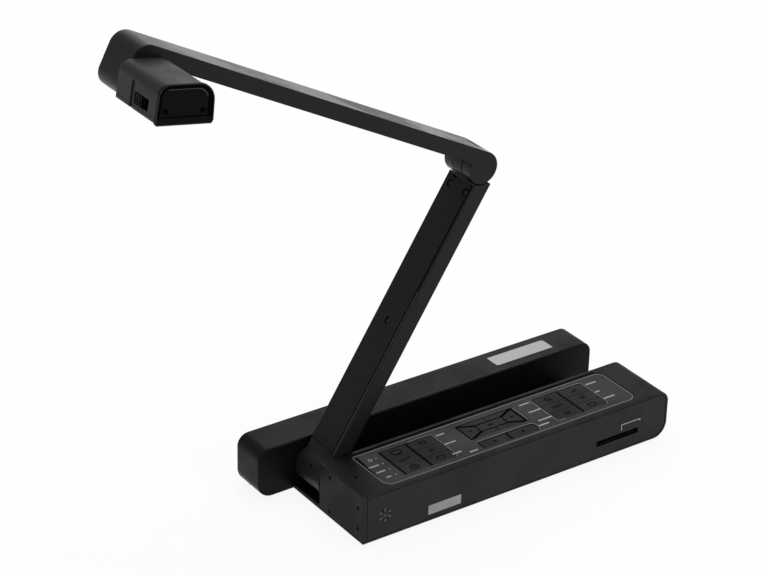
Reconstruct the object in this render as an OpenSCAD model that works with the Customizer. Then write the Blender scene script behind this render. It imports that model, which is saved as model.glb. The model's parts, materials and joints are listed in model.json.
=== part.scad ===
// Folding document camera: a two-bar base with a key panel, a two-part folding arm and a camera head.
// The origin is the middle of the base on the surface it stands on. X runs along the bars to the right,
// Y to the back and Z up. The arm is modelled raised, with the head looking down at a page.

/* [Base] */
// Length of the front box
box_l = 300; // [260:1:340]
// Depth of the front box, front to back
box_d = 60; // [56:0.5:72]
// Height of the front box with the base plate
box_h = 42; // [38:0.5:50]
// Width of the trough between the front box and the rear bar
trough_w = 36; // [32:0.5:44]
// Depth of the rear bar
bar_d = 32; // [28:0.5:40]
// Height of the rear bar above the base plate
bar_h = 41.5; // [36:0.5:50]
// Length of the rear bar that sticks out past the left end of the front box
bar_over = 33; // [24:1:40]
// Distance that the rear bar stops short of the front box's right end
bar_short = 4; // [0:1:20]
// Radius of the upper corners of the bar ends
end_r_top = 10; // [6:0.5:14]
// Radius of the lower corners of the bar ends
end_r_low = 13; // [8:0.5:16]
// Thickness of the base plate
plate_t = 2; // [1.8:0.1:3]
// Thickness of the housing walls
wall = 2.4; // [1.8:0.1:3]
// Thickness of the front box's top wall
top_wall = 3.2; // [2.8:0.1:4]
// Thickness of the inset front and rear panels
inset_t = 2.2; // [1.6:0.1:3]
// Width of the housing rim that shows round an inset panel
rim = 2.2; // [1.6:0.1:2.8]
// Thickness of the left end cover
end_cover_t = 3.5; // [2.6:0.1:5]
// Clearance round pieces that are set into an opening
inset_gap = 0.15; // [0.05:0.05:0.3]
// Height of the rubber feet under the base plate
foot_h = 1.5; // [1:0.1:4]
// Diameter of the rubber feet
foot_d = 10; // [8:0.5:16]

/* [Control panel] */
// Distance of the control panel from the front box's left end
panel_left = 25; // [22:1:30]
// Distance of the control panel from the front box's right end
panel_right = 29; // [24:1:32]
// Depth of the control panel, front to back
panel_d = 49; // [47:0.5:51]
// Thickness of the control panel
panel_t = 1.6; // [1.2:0.1:2]
// Depth of the panel's face below the top of the box
panel_recess = 0.6; // [0.2:0.1:1]
// Radius of the panel's large corners
panel_r = 8; // [4:0.5:12]
// Width of a key in the side groups
key_w = 24.1; // [20:0.1:26]
// Depth of a key in the side groups
key_d = 12.1; // [9:0.1:12.2]
// Gap between columns of keys, and between the pad's keys
key_gap = 1.1; // [0.5:0.1:1.4]
// Gap between rows of keys
row_gap = 0.3; // [0.2:0.05:0.8]
// Travel of every key
key_travel = 0.8; // [0.4:0.1:1]
// Depth of the keys' faces below the panel's face
key_sink = 0.3; // [0:0.1:0.5]
// Length of the five-way pad
pad_l = 54; // [48:0.5:58]
// Depth of the five-way pad
pad_d = 22.4; // [20:0.2:23]
// Length of the pad's centre key
pad_core_l = 25; // [20:0.5:30]
// Depth of the pad's centre key
pad_core_d = 9; // [7:0.2:11]
// Depth of the two keys in front of the pad
low_key_d = 9.6; // [8:0.2:10]
// Diameter of the status lights
light_d = 1.6; // [1:0.1:2.4]

/* [Front panel] */
// Length of the remote-control window
window_l = 31.5; // [20:0.5:36]
// Height of the remote-control window
window_h = 8.6; // [6:0.2:10]
// Length of the card slot
slot_l = 43; // [32:0.5:48]
// Height of the card slot
slot_h = 4.8; // [4.4:0.1:6]
// Diameter of one microphone hole
mic_hole_d = 1.4; // [0.8:0.1:2]
// Pitch of the microphone holes
mic_pitch = 4.4; // [3.4:0.1:5]

/* [Arm] */
// Clearance beside the arm in the trough, on each side
arm_gap = 1.5; // [1.4:0.1:3]
// Length of the lower arm, pivot to elbow, along the arm
lower_l = 267.3; // [240:0.1:280]
// Thickness of the lower arm
lower_t = 14.6; // [12:0.1:16]
// Slope of the lower arm as shown, from level
lower_slope = 57.7; // [30:0.1:80]
// Height of the arm cover's face above the pivot axis, square to the arm
cover_n = 13.2; // [12.5:0.1:15]
// Radius of the round pivot barrel
pivot_r = 16; // [14:0.5:17]
// Distance of the pivot axis from the front box's left end
pivot_x = 16; // [14:0.5:40]
// Height of the pivot axis above the base plate's underside
pivot_z = 21.5; // [20.5:0.5:24]
// Diameter of the pivot pin and the elbow pin
pin_d = 8; // [5:0.5:10]
// Running clearance of the pins in their bores, on the radius
pin_gap = 0.05; // [0.02:0.01:0.1]
// Radius of the elbow barrel
elbow_r = 13.2; // [12:0.1:15]
// Depth of the elbow axis below the arm cover's face
elbow_sink = 0.5; // [0.3:0.1:1.5]
// Gap between the elbow axis and the underside of the upper arm
upper_lift = 1; // [0.6:0.1:2]
// Running gap beside and round the elbow knuckle
elbow_gap = 0.3; // [0.2:0.05:0.6]
// Length of the upper arm, elbow to its end
upper_l = 340; // [320:0.5:360]
// Slope of the upper arm as shown, from level
upper_slope = 27.6; // [0:0.1:40]
// Thickness of the arm walls
arm_wall = 2; // [1.6:0.1:2.6]
// Thickness of the arm covers
cover_t = 1.6; // [1.2:0.1:2]
// Length of the paddle at the upper arm's end
paddle_l = 41; // [38:0.5:48]
// Drop of the paddle below the elbow axis, square to the arm
paddle_drop = 28; // [26:0.5:32]
// Radius of the paddle's outer corners
paddle_r = 12; // [6:0.5:13]

/* [Head] */
// Width of the head
head_w = 44; // [40:0.5:50]
// Height of the head with its lens plate
head_h = 27.5; // [25:0.5:32]
// Length of the head
head_l = 54; // [50:0.5:60]
// Slope of the head as shown, from level
head_slope = 10.2; // [0:0.1:27]
// Distance of the head axis from the upper arm's end, along the arm
head_in = 15.6; // [13:0.1:24]
// Drop of the head axis below the elbow axis, square to the arm
head_drop = 8.9; // [4:0.1:12]
// Gap between the head and the paddle
head_gap = 0.5; // [0.3:0.1:0.9]
// Radius of the head's outer upper corner
head_r_out = 8; // [4:0.5:12]
// Radius of the head's inner upper corner
head_r_in = 13; // [6:0.5:14]
// Thickness of the head's walls
head_wall = 1.8; // [1.4:0.1:2.4]
// Thickness of the lens plate under the head
lens_plate_t = 3.5; // [2.8:0.1:5]
// Diameter of the hollow head pivot
head_pivot_d = 14; // [10:0.5:15]
// Diameter of the lens barrel
lens_d = 17; // [12:0.5:20]
// Diameter of the lamp lens
lamp_d = 8; // [5:0.5:10]
// Length of the slide switch's window
switch_window_l = 18; // [16:0.5:22]
// Height of the slide switch's window
switch_window_h = 8.4; // [6:0.2:10]
// Length of the slide switch's knob
switch_l = 9.4; // [6:0.2:12]

/* [Fasteners] */
// Diameter of the case screws' thread
screw_d = 3; // [2:0.1:3.4]
// Diameter of the case screws' heads
screw_head_d = 5.2; // [4:0.1:6.5]
// Height of the case screws' heads
screw_head_h = 1.2; // [0.8:0.1:1.4]
// Length of the case screws below the head
screw_l = 5.5; // [4:0.1:6]
// Clearance of the screws in their holes, on the radius
screw_gap = 0.1; // [0.05:0.05:0.2]

/* [Hidden] */
$fn = 64;

// Cuts run this far past the faces that they open
over = 1;
// A hollow's corner keeps at least this radius
least_r = 1;

// Places of the base, from the middle of the surface it stands on
base_d = box_d + trough_w + bar_d;
x0 = -box_l / 2;
x1 = box_l / 2;
y0 = -base_d / 2;
box_y1 = y0 + box_d;
bar_y0 = box_y1 + trough_w;
bar_y1 = bar_y0 + bar_d;
bar_x0 = x0 - bar_over;
bar_x1 = x1 - bar_short;
plate_top = foot_h + plate_t;
box_top = foot_h + box_h;
bar_top = plate_top + bar_h;
floor_top = plate_top + wall;
ceiling = box_top - top_wall;
housing_x0 = x0 + end_cover_t;
plate_x1 = min(x1, bar_x1) - end_r_low;

// The control panel and its keys, from the panel's own edges
panel_front = 5;
panel_l = box_l - panel_left - panel_right;
panel_x = x0 + panel_left;
panel_y = y0 + panel_front;
panel_ledge = 3;
panel_groove = 0.45;
panel_back_r = 2;
panel_face = box_top - panel_recess;
group_l = 2 * key_w + key_gap;
left_group_in = 22.3;
right_group_in = 25.1;
group_front = 6.4;
pad_front = 20;
pad_aside = 1.2;
low_front = 4.2;
left_keys = [panel_x + left_group_in, panel_y + group_front];
right_keys = [panel_x + panel_l - right_group_in - group_l, panel_y + group_front];
pad_at = [panel_x + (panel_l - pad_l) / 2 - pad_aside, panel_y + pad_front];
low_keys = [pad_at[0] + key_gap, panel_y + low_front];
well_gap = 0.4;
well_left = 0.9;
well_right = 0.25;
well_row = 0.25;
pad_right_gap = 1.2;
low_key_l = (pad_l - key_gap) / 2;
low_key_r = low_key_d / 3;
key_spare = 0.1;
key_top = panel_face - key_sink;
key_rest = ceiling + key_travel + key_spare;
lights_in = 16;
lights_front = 10.8;
lights_pitch = 9.1;
lights_n = 4;
board_t = 1.6;

// The front panel and its pieces, from the ends of the front box and the base plate's underside
front_sink = 0.12;
front_seam = 0.3;
mic_in = 20.5;
mic_up = 20;
mic_at = [x0 + mic_in, foot_h + mic_up];
mic_d = 12;
mic_l = 5;
window_in = 61;
window_up = 5.4;
window_at = [x0 + window_in, foot_h + window_up];
window_lip = 1.5;
window_flange_t = 1;
slot_in = 52;
slot_up = 14.2;
slot_at = [x1 - slot_in, foot_h + slot_up];

// Main board and the card socket on it
socket_l = 30;
socket_d = 26;
socket_h = 7;
socket_mouth_l = 25;
socket_mouth_h = 2.6;
socket_back = 3;
socket_setback = 2.6;
board_top = slot_at[1] - socket_h / 2;
board_gap = 2;
main_board_left = 80;
main_board_right = 22;
main_board_x = x0 + main_board_left;
main_board_l = box_l - main_board_left - main_board_right;
main_board_y = y0 + inset_t + board_gap;
main_board_d = box_d - inset_t - wall - 2 * board_gap;
post_d = 6;
post_inset = 5;

// Rear bar pieces, from the bar's right end
panel_seat = 1;
port_board_in = 36;
port_board_l = 90;
port_board_x = bar_x1 - port_board_in - port_board_l;
port_board_up = 8;
port_board_gap = 1;
port_board_z = floor_top + port_board_up;
port_board_y = bar_y0 + wall + port_board_gap;
port_setback = 0.4;
port_l = 14;
port_hole_depth = 10;
inlet_w = 10;
inlet_h = 11;
inlet_bore_r = 3.3;
inlet_pin_r = 1;
inlet_pin_setback = 1;
inlet_in = 12;
video_w = 17;
video_h = 8;
video_mouth_w = 15;
video_mouth_h = 5.6;
video_in = 40;
usb_w = 12;
usb_h = 11;
usb_mouth_w = 8.6;
usb_mouth_h = 7.8;
usb_in = 70;
inlet_x = port_board_x + inlet_in;
video_x = port_board_x + video_in;
usb_x = port_board_x + usb_in;
name_in = 34;
name_l = 58;
name_d = 14.5;
name_t = 0.8;
name_sink = 0.4;
name_r = 3;
name_sharp_r = 0.4;
name_x = bar_x1 - name_in - name_l;

// Feet and case screws: the rear left foot stands under the bar itself, and follows its round corner
foot_edge = 12;
feet_on_plate = [
    [0, 0],
    [x0 + foot_edge, y0 + foot_edge],
    [plate_x1 - foot_edge, y0 + foot_edge],
    [plate_x1 - foot_edge, bar_y1 - foot_edge]
];
bar_foot_end = 12.5;
bar_foot_back = 6.5;
foot_on_bar = [bar_x0 + bar_foot_end, bar_y1 - bar_foot_back];
plate_screw_left = 40;
plate_screw_right = 30;
plate_screw_x0 = x0 + plate_screw_left;
plate_screw_x1 = plate_x1 - plate_screw_right;
plate_screw_x = [plate_screw_x0, (plate_screw_x0 + plate_screw_x1) / 2, plate_screw_x1];
plate_screw_y = [y0 + box_d / 2, bar_y0 + bar_d / 2];
end_screw_front = 7.4;
end_screw_back = 14;
front_pair_low = 10.8;
front_pair_high = 12.8;
back_pair_low = 5;
back_pair_high = 6.1;
end_screws_at = [
    [y0 + end_screw_front, foot_h + front_pair_low], [y0 + end_screw_front, box_top - front_pair_high],
    [box_y1 - end_screw_back, foot_h + back_pair_low], [box_y1 - end_screw_back, box_top - back_pair_high]
];
end_screw_head_d = 3.2;
end_screw_d = 2;

// Pivot bracket
arm_w = trough_w - 2 * arm_gap;
arm_y = box_y1 + trough_w / 2;
arm_y0 = arm_y - arm_w / 2;
pivot_at = [x0 + pivot_x, arm_y, foot_h + pivot_z];
pin_r = pin_d / 2;
ear_spare = 0.3;
ear_wall = 4;
ear_t = arm_gap - ear_spare;
ear_r = pin_r + ear_wall;
ear_gap = 0.1;
pin_seat_gap = 0.02;
bracket_t = 1.6;
bracket_l = 44;

// Arms, each in its own frame: X along the arm, Z square to it
elbow_n = cover_n - elbow_sink;
lower_bottom = cover_n - lower_t;
knuckle_w = arm_w / 3;
elbow_front_gap = 2 * elbow_gap;
cheek_room = 0.8;
elbow_tip = 8.5;
knuckle_room = 0.5;
elbow_cut_r = elbow_r + cheek_room;
knuckle_cut_r = elbow_r + knuckle_room;
cover_low_gap = 2;
cover_high_gap = 1.6;
cover_x0 = pivot_r + cover_low_gap;
cover_x1 = lower_l - elbow_cut_r - cover_high_gap;
cover_lip = 1.6;
lower_edge_r = 1.4;
cover_ledge = 2.6;
cover_gap = 0.1;
pocket_low_wall = 4;
pocket_high_wall = 14;
pocket_x0 = cover_x0 + pocket_low_wall;
pocket_x1 = cover_x1 - pocket_high_wall;
cover_seam = 0.4;
cover_tongue_l = 3;
cover_tongue_w = 20;
cover_tongue_t = 0.8;
cover_bore_r = 3.2;
cover_screw_r = 2.2;
cover_screw_sink = 0.3;
cover_screw_h = 0.7;
cover_screw_hole_r = 1.4;
cover_screw_l = 3;
cover_screw_end = 7.2;
cover_screw_front = 5.6;
cover_screw_back = 7.8;
cover_post_r = 3;
cover_post_share = 0.473;
cover_post_x = cover_x0 + cover_post_share * (cover_x1 - cover_x0);
cover_screws_at = [
    [cover_x1 - cover_screw_end, cover_screw_front - arm_w / 2],
    [cover_x1 - cover_screw_end, arm_w / 2 - cover_screw_back],
    [cover_post_x, 0]
];
tip_gap = 1;
cable_w = 8;
cable_t = 0.8;
cable_gap = 1;
cable_y = cover_post_r + cable_gap;
upper_t = elbow_r - upper_lift;
beam_end = elbow_r / 2;
cheek_skin = 1.5;
under_end_wall = 4;
under_elbow_wall = 10;
under_x0 = -upper_l + paddle_l + under_end_wall;
under_x1 = -elbow_cut_r - under_elbow_wall;
paddle_in_r = 6;
paddle_low_r = 11;

// The elbow and the head axis, in the part's frame
head_reach = upper_l - head_in;
elbow_at = pivot_at + [
    lower_l * cos(lower_slope) - elbow_n * sin(lower_slope), 0,
    lower_l * sin(lower_slope) + elbow_n * cos(lower_slope)
];
head_axis_at = elbow_at + [
    -head_reach * cos(upper_slope) - head_drop * sin(upper_slope), 0,
    head_reach * sin(upper_slope) - head_drop * cos(upper_slope)
];

// Head, in its own frame: the axis runs along Y through the middle of the profile
head_y1 = arm_y0 - head_gap;
head_y0 = head_y1 - head_l;
head_bottom = -head_h / 2;
shell_bottom = head_bottom + lens_plate_t;
head_foot_r = 1.5;
head_foot_least_r = 0.2;
head_lean = 1.2;
head_knee = head_h / 2 - head_r_in;
back_wall = 3;
cap_t = 4.4;
cap_face_t = 1.8;
cap_proud = 0.9;
cap_frame = 2.8;
cap_sill = 1.1;
cap_sink = 1.4;
cap_gap = 0.1;
cap_back = head_y0 + cap_t;
shell_y0 = head_y0 + cap_face_t + cap_gap;
cap_bore_r = 2.2;
cap_bore_sink = 0.6;
cap_screw_r = 1.5;
cap_screw_hole_r = 0.9;
cap_screw_h = 0.9;
cap_screw_l = 6;
cap_screw_left = 7;
cap_screw_right = 8;
cap_screw_up = 8.6;
cap_screws_at = [
    [-head_w / 2 + cap_screw_left, head_bottom + cap_screw_up],
    [head_w / 2 - cap_screw_right, head_bottom + cap_screw_up]
];
cap_post_r = 2.4;
cap_rib_t = 2.4;
groove_w = 3.8;
groove_depth = 1.2;
groove_h = 19.5;
groove_back = 18.3;
groove_y = head_y1 - groove_back - groove_w;
switch_front = 12.5;
switch_up = 4.8;
switch_window_y = head_y0 + switch_front;
switch_window_z = head_bottom + switch_up;
switch_gap = 0.3;
switch_proud = 0.5;
switch_plate_t = 1.2;
switch_ribs = 3;
rib_depth = 0.8;
rib_share = 0.4;
head_pivot_r = head_pivot_d / 2;
pivot_wall = 2.5;
flange_w = 2.2;
flange_r = head_pivot_r + flange_w;
flange_t = 1.5;
flange_gap = 0.1;
flange_room = 0.8;
pocket_depth = 9;
pocket_r = flange_r + flange_room;
pivot_cap_t = 2;
pivot_cap_lip = 1.5;
pivot_cap_r = pocket_r + pivot_cap_lip;
lens_back = 2;
lens_y = head_y0 + head_l / 2 + lens_back;
lens_flange = 2;
lens_flange_t = 1.5;
lens_l = 11;
lens_wall = 2.2;
lens_step = 1;
lens_seat_t = 1.2;
glass_t = 2;
lamp_front = 11;
lamp_y = head_y0 + lamp_front;
lamp_flange = 1.2;
lamp_flange_t = 1;
camera_board_l = 30;
camera_board_d = 26;

// Colours of the finishes
charcoal = [0.2, 0.2, 0.21];
graphite = [0.27, 0.27, 0.28];
black = [0.09, 0.09, 0.1];
key_grey = [0.33, 0.33, 0.34];
silver = [0.72, 0.73, 0.75];
board_green = [0.12, 0.32, 0.2];
lamp_white = [0.92, 0.93, 0.9];
window_grey = [0.6, 0.61, 0.63];
lens_blue = [0.2, 0.24, 0.32];

// A rectangle with its corner at the origin and four corner radii: lower left, lower right, upper right,
// upper left
module rounded(l, h, r) {
    places = [[0, 0], [l, 0], [l, h], [0, h]];
    difference() {
        square([l, h]);
        for (i = [0:3]) {
            if (r[i] > 0) translate(places[i]) rotate(90 * i) corner_waste(r[i]);
        }
    }
}

// What a round of radius r takes off a square corner at the origin
module corner_waste(r) {
    difference() {
        translate([-over, -over]) square(r + over);
        translate([r, r]) circle(r);
    }
}

// An outline in X and Z, drawn out along Y from one place to another
module along_y(from, to) {
    translate([0, to, 0]) rotate([90, 0, 0]) linear_extrude(to - from) children();
}

// A round bar along Y
module bar_y(r, from, to) {
    translate([0, from, 0]) rotate([-90, 0, 0]) cylinder(r = r, h = to - from);
}

// The frames of the arms and the head
module on_lower() {
    translate(pivot_at) rotate([0, -lower_slope, 0]) children();
}
module on_upper() {
    translate(elbow_at) rotate([0, upper_slope, 0]) children();
}
module on_head() {
    translate([head_axis_at[0], 0, head_axis_at[2]]) rotate([0, head_slope, 0]) children();
}

// Outline of the front box, or of a hollow set in from its right end and top, cut off level at a height. Its
// lower right corner is drawn from the base plate's underside
module box_outline(left, inset, inset_top, low) {
    right = x1 - inset;
    intersection() {
        union() {
            translate([left, foot_h + inset])
                rounded(right - left, box_top - inset_top - foot_h - inset,
                    [0, max(end_r_low - inset, least_r), max(end_r_top - inset, least_r), 0]);
            translate([left, low]) square([x1 - end_r_low - left, end_r_low]);
        }
        translate([left, low]) square([right - left, box_top - low]);
    }
}

// Outline of the rear bar, or of a hollow set in all round
module bar_outline(inset) {
    low = max(end_r_low - inset, least_r);
    top = max(end_r_top - inset, least_r);
    translate([bar_x0 + inset, plate_top + inset])
        rounded(bar_x1 - bar_x0 - 2 * inset, bar_h - 2 * inset, [low, low, top, top]);
}

// Outline of the bar's end beyond the base plate, which comes down to the plate's underside
module bar_keel() {
    intersection() {
        translate([bar_x0, foot_h])
            rounded(bar_x1 - bar_x0, bar_top - foot_h, [end_r_low, end_r_low, end_r_top, end_r_top]);
        translate([bar_x0, foot_h]) square([bar_over - inset_gap, bar_h]);
    }
}

// Outline of the control panel, grown by a margin
module panel_outline(margin) {
    big = panel_r + margin;
    translate([panel_x - margin, panel_y - margin])
        rounded(panel_l + 2 * margin, panel_d + 2 * margin, [big, big, big, panel_back_r]);
}

// One case screw, its head's outer face at the origin and its shank along +Z
module case_screw(gap) {
    cylinder(d = screw_head_d + 2 * gap, h = screw_head_h + gap);
    cylinder(d = screw_d + 2 * gap, h = screw_head_h + screw_l + gap);
}

// One of the end cover's smaller screws, in the same way
module end_screw(gap) {
    cylinder(d = end_screw_head_d + 2 * gap, h = screw_head_h + gap);
    cylinder(d = end_screw_d + 2 * gap, h = screw_head_h + screw_l + gap);
}

// Places the case screws: up through the base plate, and in through the end cover
module at_plate_screws() {
    for (x = plate_screw_x, y = plate_screw_y) translate([x, y, foot_h]) children();
}
module at_end_screws() {
    for (at = end_screws_at) translate([x0, at[0], at[1]]) rotate([0, 90, 0]) children();
}

module base_plate() {
    color(charcoal) difference() {
        union() {
            translate([x0, y0, foot_h]) cube([plate_x1 - x0, base_d, plate_t]);
            along_y(y0, box_y1) intersection() {
                box_outline(x0, 0, 0, foot_h);
                translate([x0, foot_h]) square([box_l, plate_t]);
            }
        }
        at_plate_screws() case_screw(screw_gap);
    }
}

module front_housing() {
    color(charcoal) {
        difference() {
            along_y(y0, box_y1) box_outline(housing_x0, 0, 0, plate_top);
            along_y(y0 - over, y0 + inset_t) box_outline(housing_x0 - over, rim, rim, plate_top - over);
            along_y(y0 + inset_t - over, box_y1 - wall)
                box_outline(housing_x0 + wall, wall, top_wall, floor_top);
            translate([0, 0, panel_face - panel_t]) linear_extrude(box_top) panel_outline(panel_groove);
            translate([0, 0, ceiling - over]) linear_extrude(box_top) panel_outline(-panel_ledge);
            at_plate_screws() case_screw(screw_gap);
            at_end_screws() end_screw(screw_gap);
        }
        for (x = [main_board_x + post_inset, main_board_x + main_board_l - post_inset],
             y = [main_board_y + post_inset, main_board_y + main_board_d - post_inset]) {
            translate([x, y, floor_top]) cylinder(d = post_d, h = board_top - board_t - floor_top);
        }
    }
}

// The front panel carries the microphone holes, the remote-control window and the card slot
module front_panel() {
    color(graphite) along_y(y0 + front_sink, y0 + inset_t) difference() {
        box_outline(housing_x0 + front_seam, rim + front_seam, rim + front_seam, plate_top + inset_gap);
        translate(mic_at) mic_holes();
        translate(window_at) square([window_l, window_h]);
        translate([slot_at[0] - slot_l / 2, slot_at[1] - slot_h / 2]) square([slot_l, slot_h]);
    }
}

// Seven holes in rows of two, three and two
module mic_holes() {
    circle(d = mic_hole_d);
    for (i = [0:5]) rotate(60 * i) translate([mic_pitch, 0]) circle(d = mic_hole_d);
}

module end_cover() {
    color(charcoal) difference() {
        translate([x0, y0, plate_top]) cube([end_cover_t, box_d, box_top - plate_top]);
        at_end_screws() end_screw(screw_gap);
    }
}

// Outlines of the keys, by group
module side_key(at, i) {
    column = i % 2;
    row = floor(i / 2);
    translate(at + [column * (key_w + key_gap), row * (key_d + row_gap)]) square([key_w, key_d]);
}
module side_well(at) {
    translate(at - [well_left, well_row])
        square([group_l + well_left + well_right, 3 * key_d + 2 * row_gap + 2 * well_row]);
}
module low_key(i) {
    r = i == 0 ? [0, 0, 0, 0] : [0, low_key_r, low_key_r, 0];
    translate(low_keys + [i * (low_key_l + key_gap), 0]) rounded(low_key_l, low_key_d, r);
}
module low_well() {
    r = low_key_r + well_gap;
    translate(low_keys - [well_gap, well_gap])
        rounded(pad_l + 2 * well_gap, low_key_d + 2 * well_gap, [0, r, r, 0]);
}
module pad_well() {
    translate(pad_at - [well_left, well_gap])
        square([pad_l + well_left + pad_right_gap, pad_d + 2 * well_gap]);
}

// The pad is cut into a centre key and four trapezia by gaps that run to its corners
core_x = (pad_l - pad_core_l) / 2;
core_y = (pad_d - pad_core_d) / 2;
module pad_side() {
    translate(pad_at) polygon([
        [0, key_gap], [core_x - key_gap, core_y + key_gap / 2],
        [core_x - key_gap, pad_d - core_y - key_gap / 2], [0, pad_d - key_gap]
    ]);
}
module pad_edge() {
    translate(pad_at) polygon([
        [key_gap * 2, 0], [pad_l - key_gap * 2, 0],
        [pad_l - core_x - key_gap / 2, core_y - key_gap], [core_x + key_gap / 2, core_y - key_gap]
    ]);
}
module flip_pad_x() {
    translate([2 * pad_at[0] + pad_l, 0]) mirror([1, 0]) children();
}
module flip_pad_y() {
    translate([0, 2 * pad_at[1] + pad_d]) mirror([0, 1]) children();
}

// A key is its outline drawn up from just above the key board
module key() {
    color(key_grey) translate([0, 0, key_rest]) linear_extrude(key_top - key_rest) children();
}
module left_key(i) { key() side_key(left_keys, i); }
module right_key(i) { key() side_key(right_keys, i); }
module front_key(i) { key() low_key(i); }
module pad_left() { key() pad_side(); }
module pad_right() { key() flip_pad_x() pad_side(); }
module pad_down() { key() pad_edge(); }
module pad_up() { key() flip_pad_y() pad_edge(); }
module pad_centre() { key() translate(pad_at + [core_x, core_y]) square([pad_core_l, pad_core_d]); }

module at_lights() {
    for (i = [0:lights_n - 1]) {
        translate([panel_x + lights_in, panel_y + lights_front + i * lights_pitch, 0]) children();
    }
}

module control_panel() {
    color(graphite) translate([0, 0, panel_face - panel_t]) linear_extrude(panel_t) difference() {
        panel_outline(0);
        side_well(left_keys);
        side_well(right_keys);
        pad_well();
        low_well();
        at_lights() circle(d = light_d + 2 * inset_gap);
    }
}

module status_lights() {
    color(lamp_white) at_lights()
        translate([0, 0, ceiling]) cylinder(d = light_d, h = panel_face - ceiling);
}

module key_board() {
    color(board_green) translate([0, 0, ceiling - board_t]) linear_extrude(board_t) panel_outline(0);
}

module main_board() {
    color(board_green) translate([main_board_x, main_board_y, board_top - board_t])
        cube([main_board_l, main_board_d, board_t]);
}

module card_socket() {
    mouth_y = y0 + inset_t + socket_setback;
    color(silver) difference() {
        translate([slot_at[0] - socket_l / 2, mouth_y, board_top]) cube([socket_l, socket_d, socket_h]);
        translate([slot_at[0] - socket_mouth_l / 2, mouth_y - over, slot_at[1] - socket_mouth_h / 2])
            cube([socket_mouth_l, socket_d - socket_back + over, socket_mouth_h]);
    }
}

// The window plugs its opening from behind, with a flange on the panel's back
module remote_window() {
    color(window_grey) {
        along_y(y0 + front_sink, y0 + inset_t) translate(window_at + [inset_gap, inset_gap])
            square([window_l - 2 * inset_gap, window_h - 2 * inset_gap]);
        along_y(y0 + inset_t, y0 + inset_t + window_flange_t) translate(window_at - [window_lip, 0])
            square([window_l + 2 * window_lip, window_h + window_lip]);
    }
}

module microphone() {
    color(silver) translate([mic_at[0], 0, mic_at[1]]) bar_y(mic_d / 2, y0 + inset_t, y0 + inset_t + mic_l);
}

module rear_housing() {
    color(charcoal) {
        difference() {
            along_y(bar_y0, bar_y1) union() {
                bar_outline(0);
                bar_keel();
            }
            along_y(bar_y1 - inset_t, bar_y1 + over) bar_outline(rim);
            along_y(bar_y0 + wall, bar_y1 - inset_t + over) bar_outline(max(wall, rim + panel_seat));
            translate([name_x, bar_y0 + (bar_d - name_d) / 2, bar_top - name_sink])
                linear_extrude(over) name_outline(inset_gap);
            at_plate_screws() case_screw(screw_gap);
        }
        for (x = [port_board_x + post_inset, port_board_x + port_board_l - post_inset]) {
            translate([x, port_board_y + post_inset, floor_top])
                cylinder(d = post_d, h = port_board_z - floor_top);
        }
    }
}

// The plate's near left and far right corners are round, and the other two nearly sharp
module name_outline(margin) {
    r = name_r + margin;
    sharp = name_sharp_r + margin;
    translate([-margin, -margin]) rounded(name_l + 2 * margin, name_d + 2 * margin, [r, sharp, r, sharp]);
}

module name_plate() {
    color(silver) translate([name_x, bar_y0 + (bar_d - name_d) / 2, bar_top - name_sink])
        linear_extrude(name_t) name_outline(0);
}

// A rectangle standing on the port board, where a port comes through the rear panel
module port_outline(x, w, h, gap) {
    translate([x - w / 2 - gap, port_board_z + board_t - gap]) square([w + 2 * gap, h + 2 * gap]);
}

module rear_panel() {
    color(graphite) along_y(bar_y1 - inset_t, bar_y1) difference() {
        bar_outline(rim + inset_gap);
        port_outline(inlet_x, inlet_w, inlet_h, inset_gap);
        port_outline(video_x, video_w, video_h, inset_gap);
        port_outline(usb_x, usb_w, usb_h, inset_gap);
    }
}

module port_board() {
    color(board_green) translate([port_board_x, port_board_y, port_board_z])
        cube([port_board_l, bar_y1 - inset_t - port_board_gap - port_board_y, board_t]);
}

// Where the ports' faces and the bottoms of their holes lie
port_y1 = bar_y1 - port_setback;
port_hole_y = port_y1 - port_hole_depth;

module power_inlet() {
    axis_z = port_board_z + board_t + inlet_h / 2;
    color(black) difference() {
        along_y(port_y1 - port_l, port_y1) port_outline(inlet_x, inlet_w, inlet_h, 0);
        translate([inlet_x, 0, axis_z]) bar_y(inlet_bore_r, port_hole_y, port_y1 + over);
    }
    color(silver) translate([inlet_x, 0, axis_z])
        bar_y(inlet_pin_r, port_hole_y, port_y1 - inlet_pin_setback);
}

// One signal port: a metal shell with a rectangular mouth
module signal_port(x, w, h, mouth) {
    mid_z = port_board_z + board_t + h / 2;
    color(silver) difference() {
        along_y(port_y1 - port_l, port_y1) port_outline(x, w, h, 0);
        translate([x - mouth[0] / 2, port_hole_y, mid_z - mouth[1] / 2])
            cube([mouth[0], port_hole_depth + over, mouth[1]]);
    }
}

module signal_ports() {
    signal_port(video_x, video_w, video_h, [video_mouth_w, video_mouth_h]);
    signal_port(usb_x, usb_w, usb_h, [usb_mouth_w, usb_mouth_h]);
}

module feet() {
    color(black) {
        for (at = feet_on_plate) translate(at) cylinder(d = foot_d, h = foot_h);
        difference() {
            translate(foot_on_bar) cylinder(d = foot_d, h = plate_top);
            along_y(bar_y0, bar_y1) bar_keel();
        }
    }
}

module case_screws() {
    color(silver) {
        at_plate_screws() case_screw(0);
        at_end_screws() end_screw(0);
    }
}

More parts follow.
